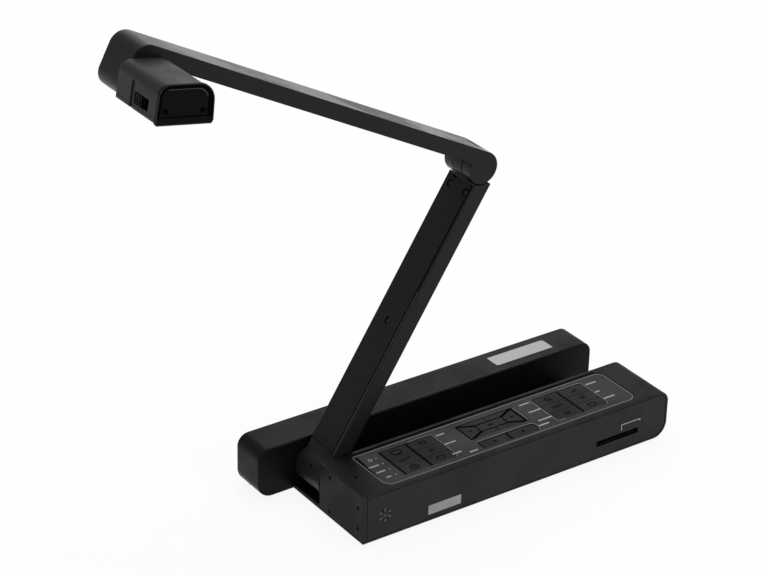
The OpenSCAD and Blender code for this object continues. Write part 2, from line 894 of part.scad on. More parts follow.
// A folded bracket on the base plate: its two ears hold the pivot pin beside the arm
module pivot_bracket() {
    ear_h = pivot_at[2] - plate_top;
    color(graphite) {
        translate([x0 + ear_gap, box_y1 + ear_gap, plate_top])
            cube([bracket_l, trough_w - 2 * ear_gap, bracket_t]);
        for (y = [box_y1 + ear_gap, bar_y0 - ear_gap - ear_t]) difference() {
            union() {
                translate([pivot_at[0], 0, pivot_at[2]]) bar_y(ear_r, y, y + ear_t);
                translate([pivot_at[0] - ear_r, y, plate_top + bracket_t / 2])
                    cube([2 * ear_r, ear_t, ear_h - bracket_t / 2]);
            }
            translate([pivot_at[0], 0, pivot_at[2]])
                bar_y(pin_r + pin_seat_gap, y - over, y + ear_t + over);
        }
    }
}

module pivot_pin() {
    color(silver) translate([pivot_at[0], 0, pivot_at[2]])
        bar_y(pin_r, box_y1 + ear_gap, bar_y0 - ear_gap);
}

// Room for the cheeks in the front and back thirds of the elbow, beside the knuckle
module elbow_sides() {
    third = (arm_w - knuckle_w) / 2 + over;
    for (y = [-arm_w / 2 - over, knuckle_w / 2]) {
        bar_y(elbow_cut_r, y, y + third);
        translate([-elbow_tip, y, -elbow_cut_r - over])
            cube([elbow_tip + over, third, elbow_cut_r + over]);
    }
}

module lower_arm() {
    color(charcoal) on_lower() difference() {
        union() {
            lower_beam();
            translate([cover_post_x, 0, lower_bottom + arm_wall])
                cylinder(r = cover_post_r, h = lower_t - arm_wall - cover_t);
        }
        at_cover_screws() cylinder(r = cover_screw_hole_r + screw_gap, h = cover_t + cover_screw_l);
    }
}

// The beam with its barrel and knuckle, the seat of its cover and the pocket for the cable
module lower_beam() {
    difference() {
        union() {
            bar_y(pivot_r, -arm_w / 2, arm_w / 2);
            rotate([90, 0, 90]) linear_extrude(lower_l) translate([-arm_w / 2, lower_bottom])
                rounded(arm_w, lower_t, [0, 0, lower_edge_r, lower_edge_r]);
            translate([lower_l, 0, elbow_n]) bar_y(elbow_r, -knuckle_w / 2, knuckle_w / 2);
        }
        bar_y(pin_r + pin_gap, -arm_w, arm_w);
        translate([lower_l, 0, elbow_n]) bar_y(pin_r + pin_gap, -arm_w, arm_w);
        translate([lower_l, 0, elbow_n]) elbow_sides();
        translate([cover_x0, -arm_w / 2 + cover_lip, cover_n - cover_t])
            cube([cover_x1 - cover_x0, arm_w - 2 * cover_lip, cover_t + pivot_r]);
        cover_tongue(cover_gap);
        translate([pocket_x0, -arm_w / 2 + cover_lip + cover_ledge, lower_bottom + arm_wall])
            cube([pocket_x1 - pocket_x0, arm_w - 2 * (cover_lip + cover_ledge), lower_t]);
    }
}

// Places the cover screws, their heads' outer faces at the origin and their shanks along +Z
module at_cover_screws() {
    for (at = cover_screws_at) translate([at[0], at[1], cover_n]) rotate([180, 0, 0]) children();
}

// The tongue at the cover's lower end, or its slot in the arm with a gap
module cover_tongue(gap) {
    translate([cover_x0 - cover_tongue_l - gap, -cover_tongue_w / 2 - gap, cover_n - cover_t])
        cube([cover_tongue_l + over, cover_tongue_w + 2 * gap, cover_tongue_t + gap]);
}

module arm_cover() {
    color(graphite) on_lower() difference() {
        union() {
            translate([cover_x0 + cover_gap, -arm_w / 2 + cover_lip + cover_seam, cover_n - cover_t])
                cube([cover_x1 - cover_x0 - 2 * cover_gap, arm_w - 2 * (cover_lip + cover_seam), cover_t]);
            cover_tongue(0);
        }
        at_cover_screws() {
            cylinder(r = cover_bore_r, h = cover_screw_sink + cover_screw_h);
            cover_screw(screw_gap);
        }
    }
}

module cover_screw(gap) {
    translate([0, 0, cover_screw_sink]) {
        cylinder(r = cover_screw_r + gap, h = cover_screw_h + gap);
        cylinder(r = cover_screw_hole_r + gap,
            h = cover_t - cover_screw_sink + cover_screw_l - tip_gap + gap);
    }
}

module cover_screws() {
    color(black) on_lower() at_cover_screws() cover_screw(0);
}

module lower_cable() {
    color(silver) on_lower() translate([pocket_x0 + cable_gap, cable_y, lower_bottom + arm_wall])
        cube([pocket_x1 - pocket_x0 - 2 * cable_gap, cable_w, cable_t]);
}

// The paddle's outline: its outer end is round, and its inner upper corner runs into the beam
module paddle_outline() {
    translate([-upper_l, -paddle_drop])
        rounded(paddle_l, paddle_drop + elbow_r, [paddle_low_r, paddle_in_r, 0, paddle_r]);
}

module upper_arm() {
    color(charcoal) on_upper() difference() {
        union() {
            along_y(-arm_w / 2, arm_w / 2) paddle_outline();
            translate([-upper_l + paddle_l / 2, -arm_w / 2, upper_lift])
                cube([upper_l - paddle_l / 2, arm_w, upper_t]);
            bar_y(elbow_r, -arm_w / 2, -knuckle_w / 2 - elbow_front_gap);
            bar_y(elbow_r, knuckle_w / 2 + elbow_gap, arm_w / 2);
        }
        bar_y(knuckle_cut_r, -knuckle_w / 2 - elbow_front_gap, knuckle_w / 2 + elbow_gap);
        translate([-beam_end, -knuckle_w / 2 - elbow_front_gap, 0])
            cube([beam_end + over, knuckle_w + elbow_front_gap + elbow_gap, elbow_r + over]);
        bar_y(pin_r + pin_seat_gap, -arm_w / 2 + cheek_skin, arm_w);
        translate([under_x0, -arm_w / 2 + cover_lip, upper_lift - over])
            cube([under_x1 - under_x0, arm_w - 2 * cover_lip, cover_t + over]);
        translate([under_x0 + cover_ledge, -arm_w / 2 + cover_lip + cover_ledge, upper_lift])
            cube([
                under_x1 - under_x0 - 2 * cover_ledge,
                arm_w - 2 * (cover_lip + cover_ledge),
                upper_t - arm_wall
            ]);
        translate([-head_reach, 0, -head_drop]) {
            bar_y(head_pivot_r + pin_gap, -arm_w, arm_w);
            bar_y(pocket_r, arm_w / 2 - pocket_depth, arm_w);
            bar_y(pivot_cap_r + cover_gap, arm_w / 2 - pivot_cap_t, arm_w);
        }
    }
}

module upper_cover() {
    color(graphite) on_upper()
        translate([under_x0 + cover_gap, -arm_w / 2 + cover_lip + cover_gap, upper_lift])
            cube([under_x1 - under_x0 - 2 * cover_gap, arm_w - 2 * (cover_lip + cover_gap), cover_t]);
}

module elbow_pin() {
    color(silver) on_upper() bar_y(pin_r, -arm_w / 2 + cheek_skin, arm_w / 2);
}

module upper_cable() {
    color(silver) on_upper()
        translate([under_x0 + cover_ledge + cable_gap, -cable_w / 2, upper_lift + cover_t])
            cube([under_x1 - under_x0 - 2 * (cover_ledge + cable_gap), cable_w, cable_t]);
}

module pivot_cap() {
    color(charcoal) on_upper() translate([-head_reach, 0, -head_drop])
        bar_y(pivot_cap_r, arm_w / 2 - pivot_cap_t, arm_w / 2);
}

// Outline of the head, or of a hollow set in from it
module head_outline(inset) {
    foot = max(head_foot_r - inset, head_foot_least_r);
    right = head_w / 2 - inset;
    low = head_bottom + inset;
    translate([inset - head_w / 2, low])
        rounded(head_w - head_lean - 2 * inset, head_h - 2 * inset,
            [foot, 0, max(head_r_in - inset, least_r), max(head_r_out - inset, least_r)]);
    polygon([
        [0, low], [right - foot, low], [right, low + foot], [right - head_lean, head_knee], [0, head_knee]
    ]);
}

// Keeps what lies above or below the seam between the shell and the lens plate
module above_seam(gap) {
    translate([-head_w, shell_bottom + gap]) square([2 * head_w, head_h]);
}

module head_groove() {
    translate([-head_w / 2 - over, groove_y, head_bottom - over])
        cube([groove_depth + over, groove_w, groove_h + over]);
}

module head_shell() {
    color(charcoal) on_head() difference() {
        union() {
            difference() {
                along_y(shell_y0, head_y1) intersection() {
                    head_outline(0);
                    above_seam(0);
                }
                along_y(shell_y0 - over, head_y1 - back_wall) head_hollow();
            }
            for (at = cap_screws_at) cap_post(at);
        }
        for (at = cap_screws_at) translate([at[0], 0, at[1]])
            bar_y(cap_screw_hole_r + screw_gap, head_y0, cap_back + cap_screw_l - tip_gap);
        bar_y(head_pivot_r + pin_seat_gap, head_y1 - back_wall - over, head_y1 + over);
        head_groove();
        translate([-head_w / 2 - over, switch_window_y, switch_window_z])
            cube([head_wall + 2 * over, switch_window_l, switch_window_h]);
    }
}

// A post for one cap screw, with a rib out to the nearer side wall
module cap_post(at) {
    side = at[0] < 0 ? -head_w / 2 + head_wall / 2 : at[0];
    translate([at[0], 0, at[1]]) bar_y(cap_post_r, cap_back, cap_back + cap_screw_l);
    translate([side, cap_back, at[1] - cap_rib_t / 2])
        cube([head_w / 2 - head_wall / 2 - abs(at[0]), cap_screw_l, cap_rib_t]);
}

// The hollow of the shell runs down through the seam
module head_hollow() {
    intersection() {
        head_outline(head_wall);
        translate([-head_w, shell_bottom - over]) square([2 * head_w, head_h]);
    }
}

module lens_plate() {
    color(black) on_head() difference() {
        along_y(shell_y0, head_y1) difference() {
            head_outline(0);
            above_seam(0);
        }
        translate([0, lens_y, head_bottom - over]) cylinder(d = lens_d + 2 * inset_gap, h = head_h);
        translate([0, lamp_y, head_bottom - over]) cylinder(d = lamp_d + 2 * inset_gap, h = head_h);
        head_groove();
    }
}

// The end cap: a face a little larger than the shell, with its middle set back inside a frame, and a plug in
// the shell's mouth
module end_cap() {
    color(black) on_head() difference() {
        union() {
            along_y(head_y0, head_y0 + cap_face_t) head_outline(-cap_proud);
            along_y(head_y0 + cap_face_t - over, cap_back) intersection() {
                head_outline(head_wall + cap_gap);
                above_seam(cap_gap);
            }
        }
        along_y(head_y0 - over, head_y0 + cap_sink) intersection() {
            head_outline(cap_frame);
            above_seam(cap_sill);
        }
        at_cap_screws() {
            bar_y(cap_bore_r, -cap_bore_sink - over, 0);
            cap_screw(screw_gap);
        }
    }
}

module at_cap_screws() {
    y = head_y0 + cap_sink + cap_bore_sink;
    for (at = cap_screws_at) translate([at[0], y, at[1]]) children();
}

module cap_screw(gap) {
    bar_y(cap_screw_r + gap, 0, cap_screw_h + gap);
    bar_y(cap_screw_hole_r + gap, 0, cap_t - cap_sink - cap_bore_sink + cap_screw_l - 2 * tip_gap + gap);
}

module cap_screws() {
    color(silver) on_head() at_cap_screws() cap_screw(0);
}

// The lens barrel hangs in the lens plate by its flange
module lens_barrel() {
    r = lens_d / 2;
    color(black) on_head() translate([0, lens_y, head_bottom]) difference() {
        union() {
            cylinder(r = r, h = lens_l);
            translate([0, 0, lens_plate_t]) cylinder(r = r + lens_flange, h = lens_flange_t);
        }
        translate([0, 0, -over]) cylinder(r = r - lens_wall, h = over + lens_seat_t + glass_t);
        translate([0, 0, -over]) cylinder(r = r - lens_wall - lens_step, h = lens_l + 2 * over);
    }
}

module lens_glass() {
    color(lens_blue) on_head() translate([0, lens_y, head_bottom + lens_seat_t])
        cylinder(r = lens_d / 2 - lens_wall - cap_gap, h = glass_t);
}

module camera_board() {
    color(board_green) on_head()
        translate([-camera_board_l / 2, lens_y - camera_board_d / 2, head_bottom + lens_l])
            cube([camera_board_l, camera_board_d, board_t]);
}

module lamp_lens() {
    color(lamp_white) on_head() translate([0, lamp_y, head_bottom]) {
        cylinder(d = lamp_d, h = lens_plate_t);
        translate([0, 0, lens_plate_t]) cylinder(r = lamp_d / 2 + lamp_flange, h = lamp_flange_t);
    }
}

// The switch's knob stands in the window on a plate behind the shell's wall
module slide_switch() {
    knob_y = switch_window_y + switch_window_l - switch_gap - switch_l;
    inside = -head_w / 2 + head_wall + switch_gap;
    rib_pitch = switch_l / switch_ribs;
    color(black) on_head() difference() {
        union() {
            translate([-head_w / 2 - switch_proud, knob_y, switch_window_z + switch_gap])
                cube([inside + head_w / 2 + switch_proud, switch_l, switch_window_h - 2 * switch_gap]);
            translate([inside, knob_y - over, switch_window_z])
                cube([switch_plate_t, switch_l + 2 * over, switch_window_h]);
        }
        for (i = [0:switch_ribs - 1]) {
            translate([
                -head_w / 2 - switch_proud - over,
                knob_y + (i + (1 - rib_share) / 2) * rib_pitch,
                switch_window_z
            ]) cube([rib_depth + over, rib_pitch * rib_share, switch_window_h]);
        }
    }
}

// The head pivot is a hollow rivet: one flange inside the head, one in the paddle's back
module head_pivot() {
    inner_y = head_y1 - back_wall;
    outer_y = arm_y + arm_w / 2 - pocket_depth + flange_gap;
    color(silver) on_head() difference() {
        union() {
            bar_y(head_pivot_r, inner_y - flange_t, outer_y + flange_t);
            bar_y(flange_r, inner_y - flange_t, inner_y);
            bar_y(flange_r, outer_y, outer_y + flange_t);
        }
        bar_y(head_pivot_r - pivot_wall, inner_y - flange_t - over, outer_y + flange_t + over);
    }
}

base_plate();
front_housing();
front_panel();
end_cover();
control_panel();
for (i = [0:5]) {
    left_key(i);
    right_key(i);
}
pad_left();
pad_right();
pad_up();
pad_down();
pad_centre();
front_key(0);  // low_key_1
front_key(1);  // low_key_2
status_lights();
key_board();
main_board();
card_socket();
remote_window();
microphone();
rear_housing();
rear_panel();
port_board();
power_inlet();
signal_ports();
name_plate();
feet();
case_screws();
pivot_bracket();
pivot_pin();
lower_arm();
arm_cover();
cover_screws();
lower_cable();
upper_arm();
upper_cover();
elbow_pin();
upper_cable();
pivot_cap();
head_shell();
lens_plate();
end_cap();
cap_screws();
lens_barrel();
lens_glass();
camera_board();
lamp_lens();
slide_switch();
head_pivot();
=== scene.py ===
"""Looks of a folding document camera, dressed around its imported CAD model.

Sizes are in millimetres in the CAD frame until a mesh is made: X runs along the bars to the right, Y to the
back and Z up, from the middle of the base on the surface that it stands on.
"""

import json
import math

import bmesh
import bpy
import numpy as np
from mathutils import Matrix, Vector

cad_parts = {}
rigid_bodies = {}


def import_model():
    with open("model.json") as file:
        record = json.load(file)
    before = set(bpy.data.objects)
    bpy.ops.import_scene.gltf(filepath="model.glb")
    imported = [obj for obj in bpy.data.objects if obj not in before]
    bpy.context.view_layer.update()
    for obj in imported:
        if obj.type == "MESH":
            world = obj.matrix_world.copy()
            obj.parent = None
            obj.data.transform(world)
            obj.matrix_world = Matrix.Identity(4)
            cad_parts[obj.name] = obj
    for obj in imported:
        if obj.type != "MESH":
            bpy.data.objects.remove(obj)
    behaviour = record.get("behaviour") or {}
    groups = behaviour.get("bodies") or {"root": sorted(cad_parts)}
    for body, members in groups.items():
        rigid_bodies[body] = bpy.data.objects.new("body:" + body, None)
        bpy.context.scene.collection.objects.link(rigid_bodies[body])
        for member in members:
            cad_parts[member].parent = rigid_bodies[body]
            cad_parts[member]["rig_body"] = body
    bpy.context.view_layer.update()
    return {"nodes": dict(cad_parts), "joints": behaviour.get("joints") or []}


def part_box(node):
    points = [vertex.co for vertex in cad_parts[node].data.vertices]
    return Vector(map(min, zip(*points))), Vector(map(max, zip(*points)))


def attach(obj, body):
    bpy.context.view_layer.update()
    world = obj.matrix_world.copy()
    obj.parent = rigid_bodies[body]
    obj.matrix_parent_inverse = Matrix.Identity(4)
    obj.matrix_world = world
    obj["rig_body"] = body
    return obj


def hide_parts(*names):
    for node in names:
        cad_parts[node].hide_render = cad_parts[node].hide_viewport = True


for leftover in list(bpy.data.objects):
    bpy.data.objects.remove(leftover)
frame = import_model()
nodes = frame["nodes"]
scene = bpy.context.scene
scene.view_settings.view_transform = "Standard"

MM = 0.001
ALONG_X, ALONG_Y, UP = np.eye(3)


# Places and directions of the part's own frames and faces

LOWER_SLOPE = 57.7
UPPER_SLOPE = 27.6
HEAD_SLOPE = 10.2


def box_of(node):
    """A node's lowest and highest corners, in mm."""
    low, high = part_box(node)
    return np.array(low) / MM, np.array(high) / MM


def points_of(node):
    """A node's corner points, in mm."""
    count = len(nodes[node].data.vertices)
    co = np.zeros(count * 3)
    nodes[node].data.vertices.foreach_get("co", co)
    return co.reshape(-1, 3) / MM


def joint_at(name):
    """A joint's place, in mm."""
    places = {joint["name"]: joint.get("pos_m") for joint in frame["joints"]}
    return np.array(places[name]) / MM


def tilted(slope):
    """The along and upright axes of a frame turned about Y, its first axis sloping down by the angle."""
    c, s = math.cos(math.radians(slope)), math.sin(math.radians(slope))
    return np.array([c, 0, -s]), np.array([s, 0, c])


def box_in_frame(node, slope):
    """A node's lowest and highest corners in a frame turned about Y by the slope, in mm from the origin."""
    along, up = tilted(slope)
    turned = points_of(node) @ np.stack([along, ALONG_Y, up], 1)
    return turned.min(0), turned.max(0)


LOWER_X, LOWER_Z = tilted(-LOWER_SLOPE)
HEAD_X, HEAD_Z = tilted(HEAD_SLOPE)
PIVOT = joint_at("base_pivot")
ELBOW = joint_at("elbow")
HEAD_AXIS = joint_at("head_tilt") * (ALONG_X + UP)
BOX_LEFT = box_of("end_cover")[0][0]
BOX_TOP = box_of("front_housing")[1][2]
FRONT_FACE = box_of("front_panel")[0][1]
PANEL_FACE = box_of("control_panel")[1][2]
PLATE_UNDER = box_of("base_plate")[0][2]
PORT_FACE = box_of("signal_ports")[1][1]
CASE_BOX = (box_of("base_plate")[0], box_of("front_housing")[1])


# The camera

CAMERA_AT = np.array([-1082.5, -1403.1, 1089.5])
CAMERA_RIGHT = np.array([0.82242, -0.56854, 0.01995])
CAMERA_BACK = np.array([-0.50992, -0.72116, 0.46895])
CAMERA_LENS = 120.38
CAMERA_SENSOR = 36.0


def unit(vectors):
    """The given vectors, each divided by its length."""
    return vectors / np.linalg.norm(vectors, axis=-1, keepdims=True)


def aimed(name, data, at, side, back):
    """A camera or a lamp at a place, in metres. Its axes run to the side, up and back."""
    place = np.eye(4)
    place[:3, :3] = np.stack([side, np.cross(back, side), back], 1)
    place[:3, 3] = at
    made = bpy.data.objects.new(name, data)
    made.matrix_world = Matrix(place.tolist())
    scene.collection.objects.link(made)
    return made


def camera():
    """The photograph's camera, its side axis made square to its back axis."""
    data = bpy.data.cameras.new("camera")
    data.lens = CAMERA_LENS
    data.sensor_width = CAMERA_SENSOR
    data.sensor_fit = "HORIZONTAL"
    back = unit(CAMERA_BACK)
    side = unit(CAMERA_RIGHT - back * (CAMERA_RIGHT @ back))
    scene.camera = aimed("camera", data, CAMERA_AT * MM, side, back)


camera()


# Surfaces from arrays


def grid_faces(rows, columns):
    """Quads between neighbouring rows of a grid of points, the last column joined to the first."""
    row = np.arange(rows - 1)[:, None] * columns
    column = np.arange(columns)[None, :]
    after = (column + 1) % columns
    corners = [row + column, row + after, row + columns + after, row + columns + column]
    return np.stack(corners, -1).reshape(-1, 4)


def loft(rows):
    """A closed skin over a stack of outlines of equal length, lowest first and anticlockwise from above:
    quads between neighbours and a flat lid at each end."""
    rows = np.asarray(rows, float)
    count, around = rows.shape[:2]
    ring = np.arange(around)
    faces = grid_faces(count, around).tolist()
    faces += [ring[::-1].tolist(), (ring + (count - 1) * around).tolist()]
    return rows.reshape(-1, 3), faces


def belt(rows):
    """A closed skin over a ring of outlines of equal length: quads between neighbours all the way round."""
    rows = np.asarray(rows, float)
    count, around = rows.shape[:2]
    return rows.reshape(-1, 3), (grid_faces(count + 1, around) % (count * around)).tolist()


def together(parts):
    """Several skins as one, each one's faces shifted past the points before it."""
    starts = np.cumsum([0] + [len(points) for points, _ in parts])
    faces = [[int(i + start) for i in face] for (_, fs), start in zip(parts, starts) for face in fs]
    return np.concatenate([points for points, _ in parts]), faces


def placed(skin, origin, u, v):
    """A skin laid into the frame whose first two axes are u and v, and whose third is square to both."""
    points, faces = skin
    axes = np.stack([u, v, np.cross(u, v)])
    return points @ axes + np.asarray(origin, float), faces


def moved(skin, at):
    """A skin carried to a place without turning."""
    points, faces = skin
    return points + np.asarray(at, float), faces


def bisectors(corners):
    """At each corner of an anticlockwise outline: the unit bisector into it, and half its angle."""
    back = unit(np.roll(corners, 1, 0) - corners)
    on = unit(np.roll(corners, -1, 0) - corners)
    middle = unit(back + on)
    half = np.arccos(np.clip((middle * on).sum(1), -1, 1))
    return middle, half


def inset(corners, depth):
    """The outline with every side moved in by depth: corners slide depth / sin(half angle) inwards."""
    middle, half = bisectors(corners)
    return corners + middle * (depth / np.sin(half))[:, None]


def rounded(corners, radii, steps=5):
    """A convex outline with round corners: each is an arc about a point r / sin(half angle) along the
    bisector, swept equally to both sides of the corner."""
    corners = np.asarray(corners, float)
    radii = np.broadcast_to(np.asarray(radii, float), len(corners))
    middle, half = bisectors(corners)
    centre = corners + middle * (radii / np.sin(half))[:, None]
    start = np.arctan2(-middle[:, 1], -middle[:, 0])
    angle = start[:, None] + (math.pi / 2 - half)[:, None] * np.linspace(-1, 1, steps + 1)
    arcs = np.stack([np.cos(angle), np.sin(angle)], -1) * radii[:, None, None]
    return (centre[:, None, :] + arcs).reshape(-1, 2)


def rectangle(x, y):
    """The corners of a rectangle between two pairs of limits, anticlockwise."""
    return np.array([[x[0], y[0]], [x[1], y[0]], [x[1], y[1]], [x[0], y[1]]], float)


def outline_of(node):
    """The rectangle round a node, seen from above."""
    low, high = box_of(node)
    return rectangle((low[0], high[0]), (low[1], high[1]))


LEAST_R = 0.04
EDGE_TURN = np.linspace(0, math.pi / 2, 5)
SWELL = np.linspace(1, 0.12, 5)[1:, None, None]


def slab(corners, radii, low, top, edge, crown=0.0, steps=5):
    """A flat-faced piece over a convex outline. Its upper edge is rounded over, set in by e (1 - cos t) and
    raised by e sin t, and its face swells by crown towards the middle as 1 - s * s."""
    corners = np.asarray(corners, float)
    radii = np.broadcast_to(np.asarray(radii, float), len(corners))
    depths = np.append(0, edge * (1 - np.cos(EDGE_TURN)))
    heights = np.append(low, top - edge + edge * np.sin(EDGE_TURN))
    rows = []
    for depth, height in zip(depths, heights):
        outline = rounded(inset(corners, depth), np.maximum(radii - depth, LEAST_R), steps)
        rows.append(np.column_stack([outline, np.full(len(outline), height)]))
    if crown:
        middle = rows[-1].mean(0)
        face = middle + (rows[-1] - middle)[None] * SWELL
        face[:, :, 2] = top + crown * (1 - SWELL[:, :, 0] ** 2)
        rows += list(face)
    return loft(rows)


def revolved(profile, steps):
    """A surface of revolution about the third axis: radius and height pairs, from the bottom middle
    outwards, up and back to the top middle, carried round a full circle."""
    profile = np.asarray(profile, float)
    angle = np.linspace(0, 2 * math.pi, steps, endpoint=False)
    ring = np.stack([np.cos(angle), np.sin(angle)], -1)
    flat = profile[:, None, :1] * ring[None]
    height = np.broadcast_to(profile[:, None, 1:], flat.shape[:2] + (1,))
    return loft(np.concatenate([flat, height], -1))


SCREW_MIDDLE = 0.03
SCREW_DOME = 6
SLOT_SLOPE = 0.35


def screw_head(radius, height, depth, slot, reach, rings=14, steps=64):
    """A low screw head with a cross recess on a polar grid. The height is a dome that rolls off towards the
    rim as the sixth power of the radius, less the recess's depth inside the cross, where the smaller of |x|
    and |y| is within half a slot and the larger within the reach, both with soft sides."""
    share = np.linspace(1, SCREW_MIDDLE, rings)[:, None]
    angle = np.linspace(0, 2 * math.pi, steps, endpoint=False)
    x = radius * share * np.cos(angle)
    y = radius * share * np.sin(angle)
    soft = slot * SLOT_SLOPE
    thin = np.minimum(np.abs(x), np.abs(y))
    wide = np.maximum(np.abs(x), np.abs(y))
    within = np.clip((slot / 2 + soft - thin) / soft, 0, 1) * np.clip((reach - wide) / soft + 0.5, 0, 1)
    face = np.stack([x, y, height * (1 - share ** SCREW_DOME) - depth * within], -1)
    foot = np.stack([x[0], y[0], np.full(steps, -height)], -1)
    return loft([foot, *face])


# Lines and shapes of printing, also laid as painted shade and painted highlights

INK = 0.03


def arc(r, middle, start, end, steps):
    """Points on a circle of radius r about a middle, from one angle to another in degrees."""
    angle = np.radians(np.linspace(start, end, steps))
    return np.asarray(middle, float) + r * np.stack([np.cos(angle), np.sin(angle)], -1)


def circle(r, middle=(0, 0), steps=36):
    """Points round a circle, without the last one twice."""
    return arc(r, middle, 0, 360, steps + 1)[:-1]


def stroke(path, width, rise=INK, closed=False):
    """A printed line: a low bead carried along a path, its sides leaning in by its own rise."""
    path = np.asarray(path, float)
    if closed:
        path = np.concatenate([path[-1:], path, path[:1]])
    way = unit(np.gradient(path, axis=0))
    side = np.stack([-way[:, 1], way[:, 0]], -1)
    if closed:
        path, side = path[1:-1], side[1:-1]
    reach = np.array([width / 2, width / 2 - rise, rise - width / 2, -width / 2])
    height = np.array([0, rise, rise, 0])
    flat = path[:, None, :] + side[:, None, :] * reach[None, :, None]
    rows = np.concatenate([flat, np.broadcast_to(height[None, :, None], flat.shape[:2] + (1,))], -1)
    return belt(rows) if closed else loft(rows)


def loop(outline, width, rise=INK):
    """A printed line round a closed outline."""
    return stroke(outline, width, rise, closed=True)


def spaced(stops, spacing=0.6):
    """Points every spacing along a path through stops."""
    stops = np.asarray(stops, float)
    runs = np.linalg.norm(np.diff(stops, axis=0), axis=1)
    at = np.concatenate([[0], np.cumsum(runs)])
    along = np.linspace(0, at[-1], max(int(at[-1] / spacing), 2) + 1)
    return np.stack([np.interp(along, at, stops[:, i]) for i in (0, 1)], -1)


def line(*stops, width):
    """A printed line through stops."""
    return stroke(spaced(stops), width)


def bar(middle, length, width):
    """A short printed bar along X."""
    x, y = middle
    return line((x - length / 2, y), (x + length / 2, y), width=width)


def spot(middle, r, steps=20):
    """A printed disc with a sloped edge."""
    return moved(revolved([[r, 0], [r - INK, INK]], steps), (*middle, 0))


def patch(corners):
    """A printed patch over a convex outline, its sides leaning in by its own rise."""
    corners = np.asarray(corners, float)
    low = np.column_stack([corners, np.zeros(len(corners))])
    top = np.column_stack([inset(corners, INK), np.full(len(corners), INK)])
    return loft([low, top])


def arrow(angle, size):
    """A triangle that points along an angle in degrees."""
    return patch(arc(size, (0, 0), angle, angle + 360, steps=4)[:-1])


def rays(count, inner, outer, width):
    """Short lines that radiate from a middle."""
    ends = circle(1, steps=count)
    return [line(inner * end, outer * end, width=width) for end in ends]


# Meshes that ride on the frame

SHARP = math.radians(38)
FLAT = math.radians(0.6)
MERGE = 0.002
RIM = 5.0
EASE_STEPS = 3
LOOKS_THERE = 0.9999
CAD_LAYERS = ("custom_normal", "sharp_edge", "sharp_face")


def piece(name, parts, body, looks, replaced=(), kinds=None):
    """Skins as one object at the origin that rides on a body. Each skin takes its own look, unless kinds
    gives the number of each face's look."""
    points, faces = together(parts)
    if kinds is None:
        kinds = np.repeat(np.arange(len(parts)), [len(skin[1]) for skin in parts])
    mesh = bpy.data.meshes.new(name)
    mesh.from_pydata((points * MM).tolist(), [], faces)
    for look in looks:
        mesh.materials.append(look)
    mesh.polygons.foreach_set("material_index", kinds)
    mesh.validate()
    mesh.shade_smooth()
    mesh.set_sharp_from_angle(angle=SHARP)
    made = bpy.data.objects.new(name, mesh)
    scene.collection.objects.link(made)
    even = made.modifiers.new("even", "WEIGHTED_NORMAL")
    even.keep_sharp = True
    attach(made, body)
    if replaced:
        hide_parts(*replaced)


def softened(node, material, slot, width, inner=None, facing=None):
    """A CAD node's own shape with its edges eased: a copy whose triangles are laid afresh over whole faces,
    with every edge sharper than SHARP rounded over by a bevel. Edges within RIM of the outside of the
    node's box take the full width, and the ones farther in take inner. Facing is a direction and the
    material of the flat faces that look that way."""
    source = nodes[node]
    work = bmesh.new()
    work.from_mesh(source.data)
    bmesh.ops.remove_doubles(work, verts=work.verts, dist=MERGE * MM)
    bmesh.ops.dissolve_limit(work, angle_limit=FLAT, verts=work.verts, edges=work.edges)
    bmesh.ops.triangulate(work, faces=work.faces, quad_method="BEAUTY", ngon_method="BEAUTY")
    mesh = bpy.data.meshes.new(node + "_eased")
    work.to_mesh(mesh)
    folds = np.array([edge.calc_face_angle(0.0) for edge in work.edges])
    ends = np.array([[corner.co for corner in edge.verts] for edge in work.edges])
    work.free()
    for layer in CAD_LAYERS:
        if layer in mesh.attributes:
            mesh.attributes.remove(mesh.attributes[layer])
    low, high = (np.array(corner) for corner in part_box(node))
    middle = ends.mean(1)[:, :2]
    outside = np.minimum(middle - low[:2], high[:2] - middle).min(1) < RIM * MM
    share = np.where(outside, 1.0, (inner or width) / width) * (folds > SHARP)
    mesh.attributes.new("bevel_weight_edge", "FLOAT", "EDGE").data.foreach_set("value", share)
    mesh.materials.clear()
    mesh.materials.append(material)
    if facing is not None:
        direction, other = facing
        mesh.materials.append(other)
        normals = np.zeros(len(mesh.polygons) * 3)
        mesh.polygons.foreach_get("normal", normals)
        kinds = normals.reshape(-1, 3) @ direction > LOOKS_THERE
        mesh.polygons.foreach_set("material_index", kinds.astype(np.int32))
    mesh.shade_smooth()
    made = bpy.data.objects.new(node + "_eased", mesh)
    scene.collection.objects.link(made)
    ease = made.modifiers.new("ease", "BEVEL")
    ease.width = width * MM
    ease.segments = EASE_STEPS
    ease.limit_method = "WEIGHT"
    ease.use_clamp_overlap = False
    ease.loop_slide = False
    ease.harden_normals = True
    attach(made, source["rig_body"])
    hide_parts(node)


def dressed(node, material):
    """A CAD node that stays as it is, with a better material."""
    nodes[node].data.materials.clear()
    nodes[node].data.materials.append(material)


# Shared effects

GRAIN_FINER = 2.6
GRAIN_SHARES = (0.65, 0.35)
SPECKS = (0.6, 0.72)
CLOUD_SCALE = 28.0
CLOUD_NOISE = (3.0, 0.55)
CLOUDS = (0.32, 0.7)
HOLLOWS = (0.6, 0.35)
DUST_FINER = 40.0
DUST_NOISE = (2.0, 0.6)
DUST = (0.52, 0.7)
WEAR_WIDTH = 0.8
WEAR_SCALE = 420.0
WEAR_NOISE = (4.0, 0.65)
WEAR_BREAKS = (0.42, 0.66)
BRUSH_NOISE = (3.0, 0.6)
BRUSH_COARSER = 0.31
FIRST_COLOUR, SECOND_COLOUR, COLOUR_OUT = 6, 7, 2


